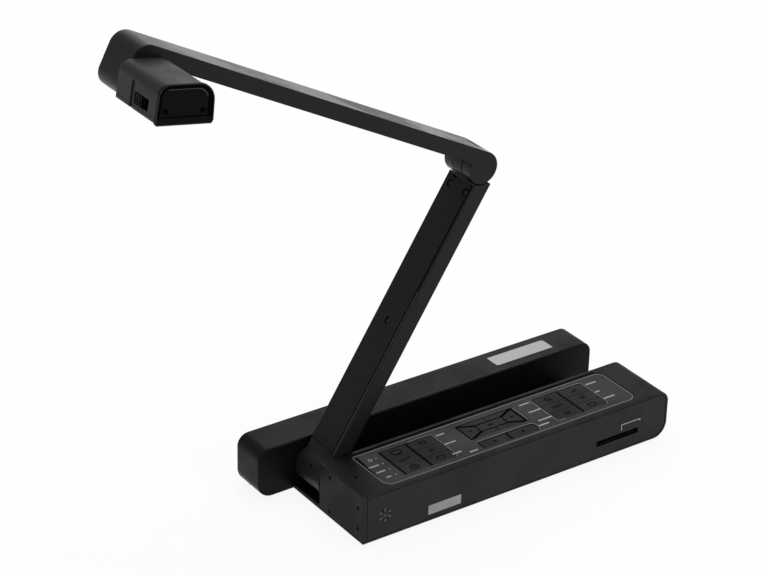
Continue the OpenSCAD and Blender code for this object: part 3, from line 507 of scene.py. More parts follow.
def effect(name, inputs, outputs):
    """An empty node group with named sockets, and its two ends."""
    tree = bpy.data.node_groups.new(name, "ShaderNodeTree")
    for label, kind, value in inputs:
        socket = tree.interface.new_socket(label, in_out="INPUT", socket_type="NodeSocket" + kind)
        if value is not None:
            socket.default_value = value
    for label in outputs:
        tree.interface.new_socket(label, in_out="OUTPUT", socket_type="NodeSocketFloat")
    return tree, tree.nodes.new("NodeGroupInput").outputs, tree.nodes.new("NodeGroupOutput").inputs


def fed(tree, kind, feeds=(), **settings):
    """A new node with its settings made, and its inputs set to values or linked to other nodes' outputs."""
    node = tree.nodes.new("ShaderNode" + kind)
    for key, value in settings.items():
        setattr(node, key, value)
    for key, value in dict(feeds).items():
        if isinstance(value, bpy.types.NodeSocket):
            tree.links.new(value, node.inputs[key])
        else:
            node.inputs[key].default_value = value
    return node


def sums(tree, operation, *values):
    """A math node's result over sockets or numbers."""
    return fed(tree, "Math", dict(enumerate(values)), operation=operation).outputs[0]


def vector_sums(tree, operation, *values):
    """A vector math node's result over sockets."""
    return fed(tree, "VectorMath", dict(enumerate(values)), operation=operation).outputs[0]


def noise(tree, vector, scale, detail=2.0, rough=0.5):
    """A noise texture's value over a vector."""
    feeds = {"Vector": vector, "Scale": scale, "Detail": detail, "Roughness": rough}
    return fed(tree, "TexNoise", feeds).outputs[0]


def ramp(tree, value, low, high, to_low=0.0, to_high=1.0):
    """A value carried from one range to another, smoothly and kept inside it."""
    feeds = {"Value": value, "From Min": low, "From Max": high, "To Min": to_low, "To Max": to_high}
    return fed(tree, "MapRange", feeds, interpolation_type="SMOOTHSTEP").outputs[0]


def mixed(tree, share, first, second):
    """One colour laid over another by a share."""
    feeds = {0: share, FIRST_COLOUR: first, SECOND_COLOUR: second}
    return fed(tree, "Mix", feeds, data_type="RGBA").outputs[COLOUR_OUT]


def make_grain():
    """Fine cast grain: two sizes of noise added as a height, and the finer one's small bright specks."""
    inputs = [("Vector", "Vector", None), ("Scale", "Float", None)]
    tree, given, out = effect("fine_grain", inputs, ["Height", "Speck"])
    coarse = noise(tree, given["Vector"], given["Scale"])
    fine = noise(tree, given["Vector"], sums(tree, "MULTIPLY", given["Scale"], GRAIN_FINER))
    heights = [sums(tree, "MULTIPLY", part, share) for part, share in zip((coarse, fine), GRAIN_SHARES)]
    tree.links.new(sums(tree, "ADD", *heights), out["Height"])
    tree.links.new(ramp(tree, fine, *SPECKS), out["Speck"])
    return tree


def make_handling():
    """Traces of use: slow clouds that change the gloss, and fine dust that gathers in their hollows."""
    inputs = [("Vector", "Vector", None), ("Scale", "Float", CLOUD_SCALE)]
    tree, given, out = effect("handling", inputs, ["Cloud", "Dust"])
    slow = noise(tree, given["Vector"], given["Scale"], *CLOUD_NOISE)
    fine = noise(tree, given["Vector"], sums(tree, "MULTIPLY", given["Scale"], DUST_FINER), *DUST_NOISE)
    dust = sums(tree, "MULTIPLY", ramp(tree, slow, *HOLLOWS), ramp(tree, fine, *DUST))
    tree.links.new(ramp(tree, slow, *CLOUDS), out["Cloud"])
    tree.links.new(dust, out["Dust"])
    return tree


def make_rubbing():
    """Rubbed edges of a box-shaped piece: the middle one of a point's distances from the box's three pairs
    of faces is small only along an edge, and noise breaks the band up."""
    inputs = [("Vector", "Vector", None), ("Centre", "Vector", None), ("Half", "Vector", None),
              ("Width", "Float", WEAR_WIDTH * MM)]
    tree, given, out = effect("rubbed_edges", inputs, ["Mask"])
    far = vector_sums(tree, "ABSOLUTE", vector_sums(tree, "SUBTRACT", given["Vector"], given["Centre"]))
    near = vector_sums(tree, "SUBTRACT", given["Half"], far)
    x, y, z = fed(tree, "SeparateXYZ", {0: near}).outputs
    high = sums(tree, "MINIMUM", sums(tree, "MAXIMUM", x, y), z)
    middle = sums(tree, "MAXIMUM", sums(tree, "MINIMUM", x, y), high)
    band = sums(tree, "SUBTRACT", 1.0, ramp(tree, middle, 0.0, given["Width"]))
    broken = ramp(tree, noise(tree, given["Vector"], WEAR_SCALE, *WEAR_NOISE), *WEAR_BREAKS)
    tree.links.new(sums(tree, "MULTIPLY", band, broken), out["Mask"])
    return tree


def make_brushing():
    """Brush lines: noise squeezed across the brushing and drawn out along it, at two sizes."""
    inputs = [("Vector", "Vector", None), ("Stretch", "Vector", None)]
    tree, given, out = effect("brush_lines", inputs, ["Line"])
    drawn = vector_sums(tree, "MULTIPLY", given["Vector"], given["Stretch"])
    both = sums(tree, "ADD", noise(tree, drawn, 1.0, *BRUSH_NOISE), noise(tree, drawn, BRUSH_COARSER))
    tree.links.new(sums(tree, "MULTIPLY", both, 0.5), out["Line"])
    return tree


GRAIN = make_grain()
HANDLING = make_handling()
RUBBING = make_rubbing()
BRUSHING = make_brushing()


def placed_effect(tree, shared, **feeds):
    """A shared effect's outputs in a material's tree, with its own values."""
    return fed(tree, "Group", feeds, node_tree=shared).outputs


# Kinds of material

CAST = np.array([0.12, -0.06, 0.14])
CAST_END = 0.1
SHEEN_TINT = (1.0, 0.86, 1.0, 1.0)
CLOUD_TONES = (0.9, 1.1)
SPECK_TONE = 1.9
SPECK_SHARE = 0.35
DUST_TONE = 0.35
WORN_SHARE = 0.55
WORN_GAIN = 4
WORN_LIFT = 0.02
WORN_MOST = 0.5
METAL_LINES = (0.35, 0.65)
METAL_DARK = 0.86
METAL_GLOSS = (0.3, 0.7)
METAL_SWING = (-0.06, 0.08)
METAL_DUST = 0.2
METAL_DUST_TONE = 0.4
CLEAR_CLOUDS = 90.0
CLEAR_DARK = 0.9
CLEAR_SWING = 0.05


def grey(value, warm=0.0):
    """A near-neutral colour of one lightness, a little warm or cool. Dark ones have the paint's faint
    violet cast, which fades as they get lighter."""
    tint = 1 + CAST * max(0.0, 1 - value / CAST_END)
    return (value * tint[0] * (1 + warm), value * tint[1], value * tint[2] * (1 - warm), 1.0)


def worn_tone(tone):
    """The lightness of paint that is rubbed thin: four times its own and a little more, up to a half."""
    return min(tone * WORN_GAIN + WORN_LIFT, WORN_MOST)


def blank(name):
    """A new material with its tree, its shader and the piece's own coordinates."""
    material = bpy.data.materials.new(name)
    material.use_nodes = True
    tree = material.node_tree
    shader = tree.nodes["Principled BSDF"]
    return material, tree, shader, tree.nodes.new("ShaderNodeTexCoord").outputs["Object"]


def surfaced(tree, shader, colour, gloss, height, depth):
    """A shader's colour and gloss linked, and a height of so many mm made its bump."""
    bump = fed(tree, "Bump", {"Height": height, "Strength": 1.0, "Distance": depth * MM})
    tree.links.new(colour, shader.inputs["Base Color"])
    tree.links.new(gloss, shader.inputs["Roughness"])
    tree.links.new(bump.outputs[0], shader.inputs["Normal"])


def worn_edges(tree, where, rub, turn):
    """The mask of rubbed edges over a box, in mm, that is turned about Y by an angle in degrees."""
    low, high = np.asarray(rub)
    if turn:
        feeds = {"Vector": where, "Angle": math.radians(-turn)}
        where = fed(tree, "VectorRotate", feeds, rotation_type="Y_AXIS").outputs[0]
    centre = tuple((low + high) / 2 * MM)
    half = tuple((high - low) / 2 * MM)
    return placed_effect(tree, RUBBING, Vector=where, Centre=centre, Half=half)["Mask"]


def coated(name, tone, rough, grain, swing=0.07, specular=0.5, rub=None, turn=0.0, warm=0.0, metal=0.0,
           dust=0.03):
    """Paint, plastic or rubber with a fine grain. Tone is its lightness, rough its gloss, swing how far
    handling changes it, grain its scale per metre and depth in mm, and rub a box with rubbed edges."""
    material, tree, shader, where = blank(name)
    shader.inputs["Metallic"].default_value = metal
    shader.inputs["Specular IOR Level"].default_value = specular
    shader.inputs["Specular Tint"].default_value = SHEEN_TINT
    use = placed_effect(tree, HANDLING, Vector=where)
    fine = placed_effect(tree, GRAIN, Vector=where, Scale=grain[0])
    colour = mixed(tree, use["Cloud"], *(grey(tone * share, warm) for share in CLOUD_TONES))
    specks = sums(tree, "MULTIPLY", fine["Speck"], SPECK_SHARE)
    colour = mixed(tree, specks, colour, grey(tone * SPECK_TONE, warm))
    colour = mixed(tree, sums(tree, "MULTIPLY", use["Dust"], dust), colour, grey(DUST_TONE))
    if rub is not None:
        worn = sums(tree, "MULTIPLY", worn_edges(tree, where, rub, turn), WORN_SHARE)
        colour = mixed(tree, worn, colour, grey(worn_tone(tone)))
    gloss = ramp(tree, use["Cloud"], 0.0, 1.0, rough - swing, rough + swing)
    surfaced(tree, shader, colour, gloss, fine["Height"], grain[1])
    return material


def brushed(name, tone, rough, stretch, depth=0.004):
    """Bare metal with brush lines in its colour, its gloss and its surface."""
    material, tree, shader, where = blank(name)
    shader.inputs["Metallic"].default_value = 1.0
    lines = placed_effect(tree, BRUSHING, Vector=where, Stretch=stretch)["Line"]
    dust = sums(tree, "MULTIPLY", placed_effect(tree, HANDLING, Vector=where)["Dust"], METAL_DUST)
    colour = mixed(tree, ramp(tree, lines, *METAL_LINES), grey(tone * METAL_DARK), grey(tone))
    colour = mixed(tree, dust, colour, grey(METAL_DUST_TONE))
    gloss = ramp(tree, lines, *METAL_GLOSS, *(rough + swing for swing in METAL_SWING))
    surfaced(tree, shader, colour, gloss, lines, depth)
    return material


def clear(name, colour, rough, through, ior=1.5):
    """Glass or clear plastic, tinted and faintly uneven."""
    material, tree, shader, where = blank(name)
    shader.inputs["Transmission Weight"].default_value = through
    shader.inputs["IOR"].default_value = ior
    cloud = placed_effect(tree, HANDLING, Vector=where, Scale=CLEAR_CLOUDS)["Cloud"]
    tint = mixed(tree, cloud, (*colour, 1.0), (*(c * CLEAR_DARK for c in colour), 1.0))
    tree.links.new(tint, shader.inputs["Base Color"])
    tree.links.new(ramp(tree, cloud, 0.0, 1.0, rough, rough + CLEAR_SWING), shader.inputs["Roughness"])
    return material


# Finishes

case_paint = coated("case_paint", 0.004, 0.44, (1900.0, 0.02), specular=0.08, rub=CASE_BOX)
bar_paint = coated("bar_paint", 0.004, 0.38, (1900.0, 0.02), specular=0.08, rub=box_of("rear_housing"))
plate_paint = coated("plate_paint", 0.004, 0.5, (1900.0, 0.02), specular=0.12, rub=box_of("base_plate"))
face_paint = coated("face_paint", 0.009, 0.5, (1700.0, 0.024), specular=0.2)
lower_paint = coated("lower_paint", 0.011, 0.42, (2000.0, 0.018), specular=0.14,
                     rub=box_in_frame("lower_arm", -LOWER_SLOPE), turn=-LOWER_SLOPE)
cover_paint = coated("cover_paint", 0.006, 0.46, (2000.0, 0.018), specular=0.14, warm=0.03)
upper_paint = coated("upper_paint", 0.008, 0.31, (2000.0, 0.016), specular=0.16,
                     rub=box_in_frame("upper_arm", UPPER_SLOPE), turn=UPPER_SLOPE)
head_texture = coated("head_texture", 0.018, 0.5, (1500.0, 0.035), specular=0.2)
panel_film = coated("panel_film", 0.013, 0.42, (5200.0, 0.005), specular=0.13, dust=0.05)
# The panel rim's light tone is a painted highlight, for the light that its edge catches.
rim_painted_highlight = coated("rim_painted_highlight", 0.13, 0.4, (5200.0, 0.004), dust=0.0)
key_rubber = coated("key_rubber", 0.013, 0.6, (4200.0, 0.008), specular=0.1, dust=0.05)
# Black ink for printed icons, also laid as painted shade on key sides and in gaps, bores, slots and
# recesses.
ink_and_painted_shade = coated("ink_and_painted_shade", 0.0008, 0.7, (4000.0, 0.004), specular=0.02, dust=0.0)
soft_black = coated("soft_black", 0.004, 0.6, (3200.0, 0.01), specular=0.1)
foot_rubber = coated("foot_rubber", 0.008, 0.75, (2600.0, 0.03), specular=0.15)
gloss_black = coated("gloss_black", 0.0015, 0.2, (2600.0, 0.0), swing=0.03, specular=0.06, dust=0.0)
print_light = coated("print_light", 0.3, 0.6, (4000.0, 0.004), dust=0.0)
# A dim grey for printed leader lines, and for painted highlights round the microphone's holes.
dim_print_and_gleam = coated("dim_print_and_gleam", 0.17, 0.6, (4000.0, 0.004), dust=0.0)
# A light grey for painted highlights: along the end cap's sunk edge, and along the arm's edge beside its
# seam.
painted_gleam = coated("painted_gleam", 0.06, 0.4, (2000.0, 0.018), dust=0.0)
screw_black = coated("screw_black", 0.03, 0.34, (3000.0, 0.004), metal=0.8)
board_film = coated("board_film", 0.03, 0.4, (900.0, 0.01))
window_smoke = coated("window_smoke", 0.30, 0.22, (2600.0, 0.002), swing=0.04, dust=0.0)
steel = brushed("steel", 0.55, 0.3, (80.0, 5000.0, 5000.0))
plate_silver = brushed("plate_silver", 0.35, 0.38, (45.0, 5200.0, 5200.0), 0.003)
lens_coating = clear("lens_coating", (0.05, 0.07, 0.13), 0.03, 0.35, 1.6)
lamp_milk = clear("lamp_milk", (0.85, 0.86, 0.82), 0.25, 0.3)
light_milk = clear("light_milk", (0.22, 0.225, 0.23), 0.3, 0.2)


# CAD pieces with eased edges

EASED = (
    ("base_plate", plate_paint, "case_metal", 0.35),
    ("front_housing", case_paint, "case_metal", 0.5),
    ("end_cover", case_paint, "case_metal", 0.4),
    # All but the front panel's front faces, the walls of its slot and holes among them, are painted black
    # as shade.
    ("front_panel", ink_and_painted_shade, "panel_plastic", 0.2),
    ("control_panel", panel_film, "panel_plastic", 0.12),
    ("rear_housing", bar_paint, "case_metal", 1.3, 0.2),
    ("rear_panel", face_paint, "panel_plastic", 0.2),
    ("pivot_bracket", soft_black, "steel", 0.2),
    ("lower_arm", lower_paint, "arm_metal", 0.2),
    ("arm_cover", cover_paint, "arm_metal", 0.2),
    ("upper_arm", upper_paint, "arm_metal", 0.6),
    ("upper_cover", cover_paint, "arm_metal", 0.2),
    ("pivot_cap", upper_paint, "arm_metal", 0.4),
    ("head_shell", head_texture, "head_plastic", 0.3),
    ("lens_plate", head_texture, "head_plastic", 0.35),
    ("end_cap", gloss_black, "gloss_black", 0.25),
    ("slide_switch", soft_black, "head_plastic", 0.1),
    ("remote_window", window_smoke, "window_grey", 0.1),
    ("power_inlet", soft_black, "black_plastic", 0.2),
    ("signal_ports", steel, "steel", 0.15),
)
FACING = dict.fromkeys(("front_housing", "end_cover", "base_plate", "front_panel"), (-ALONG_Y, face_paint))
# Faces of the lower arm and its cover that look up along the arm, into the recess by the knuckle, are
# painted black as shade.
FACING.update(dict.fromkeys(("lower_arm", "arm_cover"), (LOWER_X, ink_and_painted_shade)))
for entry in EASED:
    softened(*entry, facing=FACING.get(entry[0]))

# CAD pieces that stay as they are
KEPT = {
    soft_black: ("key_board", "microphone", "lower_cable", "upper_cable"),
    board_film: ("main_board", "port_board", "camera_board"),
    # The card socket is painted black as the shade inside its slot.
    ink_and_painted_shade: ("card_socket",),
    steel: ("pivot_pin", "elbow_pin", "head_pivot"),
}
for material, kept in KEPT.items():
    for node in kept:
        dressed(node, material)


# Rubber keys

THIN = 1.2
TICK = line((0, -2.4), (0, 2.4), width=0.9)
ICONS = {
    "ring": [loop(circle(2.6) * [1.3, 1], THIN), spot((0, 0), 1.0)],
    "pair": [bar((0, 1.1), 11, 1.0), bar((-1.5, -1.1), 8, 1.0)],
    "frame": [loop(rounded(rectangle((-4.2, 4.2), (-2.5, 2.5)), 0.8), THIN), bar((0, -3.6), 5, THIN)],
    "sun": [spot((0, 0), 1.3), *rays(8, 2.0, 3.4, 0.75)],
    "turn": [stroke(arc(2.4, (0, 0), -30, 220, steps=28), THIN), spot((2.1, -1.2), 0.9)],
    "oval": [loop(circle(2.3) * [1.7, 1], THIN)],
    "near": [loop(circle(2.1, (-0.6, 0.5)), THIN), line((0.9, -1.0), (2.8, -2.9), width=1.0),
             bar((-0.6, 0.5), 2.2, 0.7)],
    "grid": [bar((x, y), 2.4, 1.7) for y in (1.3, -1.3) for x in (-1.7, 1.7)],
    "steps": [bar((-2.2, -1.2), 1.5, 1.2), bar((0, -0.6), 1.5, 2.4), bar((2.2, 0), 1.5, 3.6)],
    "dot": [spot((0, 0), 1.3)],
    "stop": [bar((0, 0), 2.6, 2.2)],
    "left": [arrow(180, 2.1)],
    "right": [arrow(0, 2.1)],
    "up": [TICK],
    "down": [TICK],
    "centre": [bar((-2.0, 0), 1.2, 3.0), arrow(0, 2.0)],
}
KEY_ICONS = {
    "left_key_1": "ring", "left_key_2": "oval", "left_key_3": "pair",
    "left_key_4": "sun", "left_key_5": "frame", "left_key_6": "turn",
    "right_key_1": "grid", "right_key_2": "oval", "right_key_3": "pair",
    "right_key_4": "sun", "right_key_5": "near", "right_key_6": "steps",
    "low_key_1": "dot", "low_key_2": "stop",
    "pad_left": "left", "pad_right": "right", "pad_up": "up", "pad_down": "down", "pad_centre": "centre",
}
KEY_EDGE = 0.3
KEY_CROWN = 0.05
KEY_R = 0.5
ROUND_END = (0.5, 3.2, 3.2, 0.5)
LEVEL = 0.01
DIGITS = 3


def top_corners(node):
    """The corners of a node's flat top, anticlockwise about their middle."""
    points = points_of(node)
    top = points[points[:, 2] > points[:, 2].max() - LEVEL]
    flat = np.unique(top[:, :2].round(DIGITS), axis=0)
    off = flat - flat.mean(0)
    return flat[np.argsort(np.arctan2(off[:, 1], off[:, 0]))]


def rubber_key(node, icon):
    """A moulded key over its CAD outline: sides painted black as the shade of the gap round it, a rounded
    edge, a faint crown, a printed icon.
    """
    low, high = box_of(node)
    corners, radii = top_corners(node), KEY_R
    if node == "low_key_2":
        corners, radii = outline_of(node), ROUND_END
    points, faces = slab(corners, radii, low[2], high[2], KEY_EDGE, KEY_CROWN)
    ink = moved(together(ICONS[icon]), (*corners.mean(0), high[2] + KEY_CROWN))
    heights = np.array([points[face, 2].mean() for face in faces])
    # Faces below the rounded edge, the key's sides, take the black ink as painted shade of the gap round
    # the key.
    kinds = np.append(heights < high[2] - KEY_EDGE, np.ones(len(ink[1]))).astype(np.int32)
    looks = (key_rubber, ink_and_painted_shade)
    piece(node + "_cap", [(points, faces), ink], nodes[node]["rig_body"], looks, [node], kinds)


for node, icon in KEY_ICONS.items():
    rubber_key(node, icon)


# The panel's rim with its painted highlight, and the printing and painted shade round its keys

BARS = (
    ((-47.0, -19.2), 8.0), ((-47.4, -33.2), 11.0), ((-51.6, -48.2), 8.5), ((-38.7, -53.0), 8.0),
    ((37.4, -17.5), 10.0), ((38.6, -30.3), 12.5), ((37.7, -44.5), 13.0), ((31.8, -50.8), 10.0),
    ((103.6, -20.2), 10.4), ((99.6, -33.6), 5.0), ((102.6, -45.3), 11.0),
    ((-117.5, -30.0), 9.6), ((-117.0, -39.0), 8.0), ((-116.0, -48.2), 4.5),
)
BAR_W = 1.6
LEADERS = (
    ((-75.0, -14.6), (-54.5, -14.6), (-53.0, -16.2), (-53.0, -50.0), (-54.6, -53.0)),
    ((46.0, -14.6), (44.6, -16.2), (44.6, -50.0), (46.2, -53.0), (52.0, -53.2)),
    ((74.0, -14.6), (94.9, -14.6), (96.5, -16.2), (96.5, -50.0), (94.8, -53.0)),
    ((-28.6, -43.6), (22.4, -43.6), (25.4, -45.2), (26.0, -48.0), (26.0, -52.4), (24.4, -55.2)),
    ((25.5, -18.0), (25.5, -38.0)),
)
LEADER_W = 0.5
RING_AT = (-114.8, -21.1)
RING_R = 1.5
RING_W = 0.7
RIM_W = 1.1
RIM_RISE = 0.4
PANEL_R = np.array([8.0, 8.0, 8.0, 2.0])
# A wedge of painted shadow inside the panel rim's left side, wider at the back.
SHADE = ((-123.9, -46.0), (-123.0, -46.0), (-120.8, -12.0), (-123.9, -12.0))
# Dark lines of painted shade along the left sides of the key columns, where the gaps by the keys lie in
# shade: x, the run in y, and width.
KEY_SHADE_LINES = (
    (-102.9, (-52.8, -15.6), 1.9), (-78.05, (-52.4, -15.9), 1.6), (71.25, (-52.4, -15.9), 1.5),
    (-30.3, (-38.8, -16.8), 1.3), (24.0, (-38.8, -16.8), 1.9), (-29.3, (-54.4, -45.8), 1.4),
    (-2.1, (-54.4, -45.6), 1.6),
)
# A dark line of painted shade across the bezel behind the panel, where a groove lies in shade.
BEZEL_GROOVE_SHADE = ((-123.0, -8.2), (116.0, -8.2))
BEZEL_GROOVE_SHADE_W = 2.0
PLUG = (-138.2, -36.5)
PLUG_R = 1.6


def panel_print_and_painted_light():
    """A raised bead round the panel's edge, its light tone a painted highlight, with a wedge of painted
    shadow inside its left side; fine light printed lines and dark painted-shade lines beside the key
    groups, short printed bars, and in the case beside it a dark plug and the painted shade of a groove."""
    outline = rounded(inset(outline_of("control_panel"), RIM_W / 2), PANEL_R - RIM_W / 2, steps=10)
    # The rim bead's light tone is a painted highlight along its edge.
    rim = loop(outline, RIM_W, RIM_RISE)
    fine = [line(*stops, width=LEADER_W) for stops in LEADERS]
    bars = [bar(at, length, BAR_W) for at, length in BARS]
    bars.append(loop(circle(RING_R, RING_AT, steps=24), RING_W))
    case = together([spot(PLUG, PLUG_R), line(*BEZEL_GROOVE_SHADE, width=BEZEL_GROOVE_SHADE_W)])
    # The plug is dark; the rest of this list is painted shade: the groove's line, the wedge inside the rim
    # and the lines beside the keys.
    dark = [moved(case, (0, 0, BOX_TOP - PANEL_FACE)), patch(SHADE)]
    dark += [line((x, low), (x, high), width=width) for x, (low, high), width in KEY_SHADE_LINES]
    parts = [moved(skin, PANEL_FACE * UP) for skin in (rim, together(fine), together(bars), together(dark))]
    piece("panel_print_and_painted_light", parts, "base", (rim_painted_highlight, dim_print_and_gleam, print_light, ink_and_painted_shade))


MIC_AT = np.array([-129.5, 21.5])
MIC_PITCH = 4.6
MIC_TURNS = (30, 330)
MIC_R = 0.9
MIC_RING_W = 0.32
MIC_RING_RISE = 0.06
CARD = ((102.0, 20.5), (102.0, 25.8), (121.0, 25.8), (121.0, 23.9))
CARD_W = 0.9


def front_print_and_gleams():
    """Seven painted highlights round the microphone's holes, for the light on their edges, and the printed
    outline of a card above its slot.
    """
    holes = [MIC_AT, *arc(MIC_PITCH, MIC_AT, *MIC_TURNS, steps=6)]
    # Rings of painted highlight where the holes' edges catch the light.
    rings = together([loop(circle(MIC_R, hole, steps=24), MIC_RING_W, MIC_RING_RISE) for hole in holes])
    parts = [placed(skin, FRONT_FACE * ALONG_Y, ALONG_X, UP) for skin in (rings, line(*CARD, width=CARD_W))]
    piece("front_print_and_gleams", parts, "base", (dim_print_and_gleam, print_light))


# Small fittings

LIGHT_X = -109.0
LIGHT_Y = (-48.2, -39.1, -30.0, -20.9)
LIGHT_R = 0.8
LIGHT_DOME = 0.22
LIGHT_MIDDLE = 0.03
LIGHT_SHARES = np.linspace(1, 0.04, 7)
NAME_R = (3.0, 0.4, 3.0, 0.4)
NAME_EDGE = 0.18


def status_lights():
    """Light pipes: pins with a low dome, r * r falling, standing a hair above the film."""
    low, high = box_of("status_lights")
    dome = np.stack([LIGHT_R * LIGHT_SHARES, high[2] + LIGHT_DOME * (1 - LIGHT_SHARES ** 2)], -1)
    pin = revolved([(LIGHT_MIDDLE, low[2]), (LIGHT_R, low[2]), *dome], steps=20)
    pins = together([moved(pin, (LIGHT_X, y, 0)) for y in LIGHT_Y])
    piece("status_light_pipes", [pins], "base", (light_milk,), ["status_lights"])


def name_plate():
    """A blank plate with two round and two square corners and a fine rounded edge."""
    low, high = box_of("name_plate")
    skin = slab(outline_of("name_plate"), NAME_R, low[2], high[2], NAME_EDGE, steps=8)
    piece("blank_name_plate", [skin], "base", (plate_silver,), ["name_plate"])


FEET = ((0, 0, 1.5), (-138, -52, 1.5), (121, -52, 1.5), (121, 52, 1.5), (-170.5, 57.5, 2.2))
FOOT_R = 5.0
FOOT_RIM = 0.5
FOOT_MIDDLE = 0.05
FOOT_DISH = ((FOOT_MIDDLE, 0.25), (3.2, 0.25), (3.7, 0.0))


def feet():
    """Rubber feet: discs with a rounded lower rim and a shallow dish under them."""
    parts = []
    for x, y, height in FEET:
        rim = arc(FOOT_RIM, (FOOT_R - FOOT_RIM, FOOT_RIM), 270, 360, steps=6)
        foot = revolved([*FOOT_DISH, *rim, (FOOT_R, height), (FOOT_MIDDLE, height)], steps=48)
        parts.append(moved(foot, (x, y, 0)))
    piece("rubber_feet", [together(parts)], "base", (foot_rubber,), ["feet"])


# Screw heads: radius, rise, and the recess's depth, slot and reach
HEAD_RISE = 0.3
CASE_SCREW = (2.5, HEAD_RISE, 0.9, 0.8, 1.6)
END_SCREW = (1.5, HEAD_RISE, 0.6, 0.5, 1.0)
COVER_SCREW = (2.1, HEAD_RISE, 0.8, 0.7, 1.4)
CAP_SCREW = (1.45, 0.2, 0.5, 0.45, 0.95)
CASE_SCREWS = [(x, y) for x in (-110.0, -3.5, 103.0) for y in (-34.0, 48.0)]
END_SCREWS = ((-56.6, 12.3), (-56.6, 30.7), (-18.0, 6.5), (-18.0, 37.4))
COVER_SCREWS = ((244.5, -10.9), (244.5, 8.7), (128.54, 0))
CAP_SCREWS = ((-15.0, -5.15), (14.0, -5.15))
COVER_SCREW_Z = 12.5
# The ring of painted shadow round each cover screw: its height, radius and width.
COVER_SHADE_RING_Z = 12.4
COVER_SHADE_RING_R = 2.65
COVER_SHADE_RING_W = 1.0
CAP_SCREW_Y = -55.0


def on_lower(skin, x=0.0, y=0.0, z=0.0):
    """A skin laid on the lower arm, at a place along it, across it and above its pivot."""
    return placed(skin, PIVOT + x * LOWER_X + y * ALONG_Y + z * LOWER_Z, LOWER_X, ALONG_Y)


def on_head(skin, x=0.0, y=0.0, z=0.0):
    """A skin set upright in the head's frame and facing the front."""
    return placed(skin, HEAD_AXIS + x * HEAD_X + y * ALONG_Y + z * HEAD_Z, HEAD_X, HEAD_Z)


def case_screws():
    """Cross-head screws in the base plate, heads down, and in the end cover, heads to the left."""
    under, left = screw_head(*CASE_SCREW), screw_head(*END_SCREW)
    under = [placed(under, (x, y, PLATE_UNDER + HEAD_RISE), ALONG_X, -ALONG_Y) for x, y in CASE_SCREWS]
    left = [placed(left, (BOX_LEFT + HEAD_RISE, y, z), -ALONG_Y, UP) for y, z in END_SCREWS]
    parts = [together(under), together(left)]
    piece("case_screw_heads", parts, "base", (screw_black, soft_black), ["case_screws"])


def cover_screws():
    """Cross-head screws in their bores in the arm's cover, each with a ring of painted shadow round its
    head.
    """
    head = screw_head(*COVER_SCREW)
    # A black ring of painted shadow round each head, in the bottom of its bore.
    shade_ring = loop(circle(COVER_SHADE_RING_R), COVER_SHADE_RING_W)
    parts = [together([on_lower(skin, x, y, z) for x, y in COVER_SCREWS])
             for skin, z in ((head, COVER_SCREW_Z), (shade_ring, COVER_SHADE_RING_Z))]
    piece("cover_screw_heads", parts, "lower", (screw_black, ink_and_painted_shade), ["cover_screws"])


def cap_screws():
    """Two small cross-head screws in the head's end cap."""
    head = screw_head(*CAP_SCREW, rings=10, steps=48)
    heads = together([on_head(head, x, CAP_SCREW_Y, z) for x, z in CAP_SCREWS])
    piece("cap_screw_heads", [heads], "head", (ink_and_painted_shade,), ["cap_screws"])


COVER_FACE = 13.2
SEAM_Y = -14.2
SEAM_X = (18.5, 251.5)
SEAM_W = 1.5
# The painted highlight beside the seam: its place across the arm, its end and its width.
GLEAM_Y = -15.15
GLEAM_END = 160.0
GLEAM_W = 0.4
COVER_NOTCH = ((249.8, 251.7), (5.2, 9.8))


def cover_shade_and_gleam():
    """Painted shade: a dark strip in the gap along the front side of the arm's cover and a dark notch in
    its upper end; and a painted highlight along the arm's edge beside the strip."""
    # The strip and the notch are painted shade, in the gap and in the recess.
    strip = line((SEAM_X[0], SEAM_Y), (SEAM_X[1], SEAM_Y), width=SEAM_W)
    dark = together([strip, patch(rectangle(*COVER_NOTCH))])
    # A painted highlight along the arm's edge beside the seam.
    edge_gleam = line((SEAM_X[0], GLEAM_Y), (GLEAM_END, GLEAM_Y), width=GLEAM_W)
    parts = [on_lower(skin, z=COVER_FACE) for skin in (dark, edge_gleam)]
    piece("cover_shade_and_gleam", parts, "lower", (ink_and_painted_shade, painted_gleam))


WASHERS = ((-5.92, -5.34), (5.34, 5.62))
WASHER_R = (4.2, 12.6)
WASHER_STEPS = 72


def elbow_washers():
    """Two thin washers on the elbow's pin, beside the knuckle: a rectangle carried round a circle."""
    angle = -np.linspace(0, 2 * math.pi, WASHER_STEPS, endpoint=False)[:, None]
    inner, outer = WASHER_R
    r = np.array([inner, outer, outer, inner])
    parts = []
    for low, high in WASHERS:
        height = np.broadcast_to([low, low, high, high], (len(angle), 4))
        rows = np.stack([r * np.cos(angle), r * np.sin(angle), height], -1)
        parts.append(placed(belt(rows), ELBOW, UP, ALONG_X))
    piece("elbow_washers", [together(parts)], "lower", (soft_black,))


SET_SCREW_Y = 11.9
SET_SCREW_TURN = math.radians(146.7)
SET_SCREW = ((0.03, -0.3), (1.1, -0.3), (1.1, 0.08), (0.95, 0.2), (0.6, 0.2), (0.5, 0.05), (0.03, 0.05))
PIVOT_R = 16.0


def set_screw():
    """A small screw let into the lower arm's barrel, square to its surface: a dished plug of revolution."""
    out = math.cos(SET_SCREW_TURN) * ALONG_X + math.sin(SET_SCREW_TURN) * UP
    at = PIVOT * (ALONG_X + UP) + SET_SCREW_Y * ALONG_Y + PIVOT_R * out
    skin = placed(revolved(SET_SCREW, steps=32), at, ALONG_Y, np.cross(out, ALONG_Y))
    piece("set_screw", [skin], "lower", (ink_and_painted_shade,))


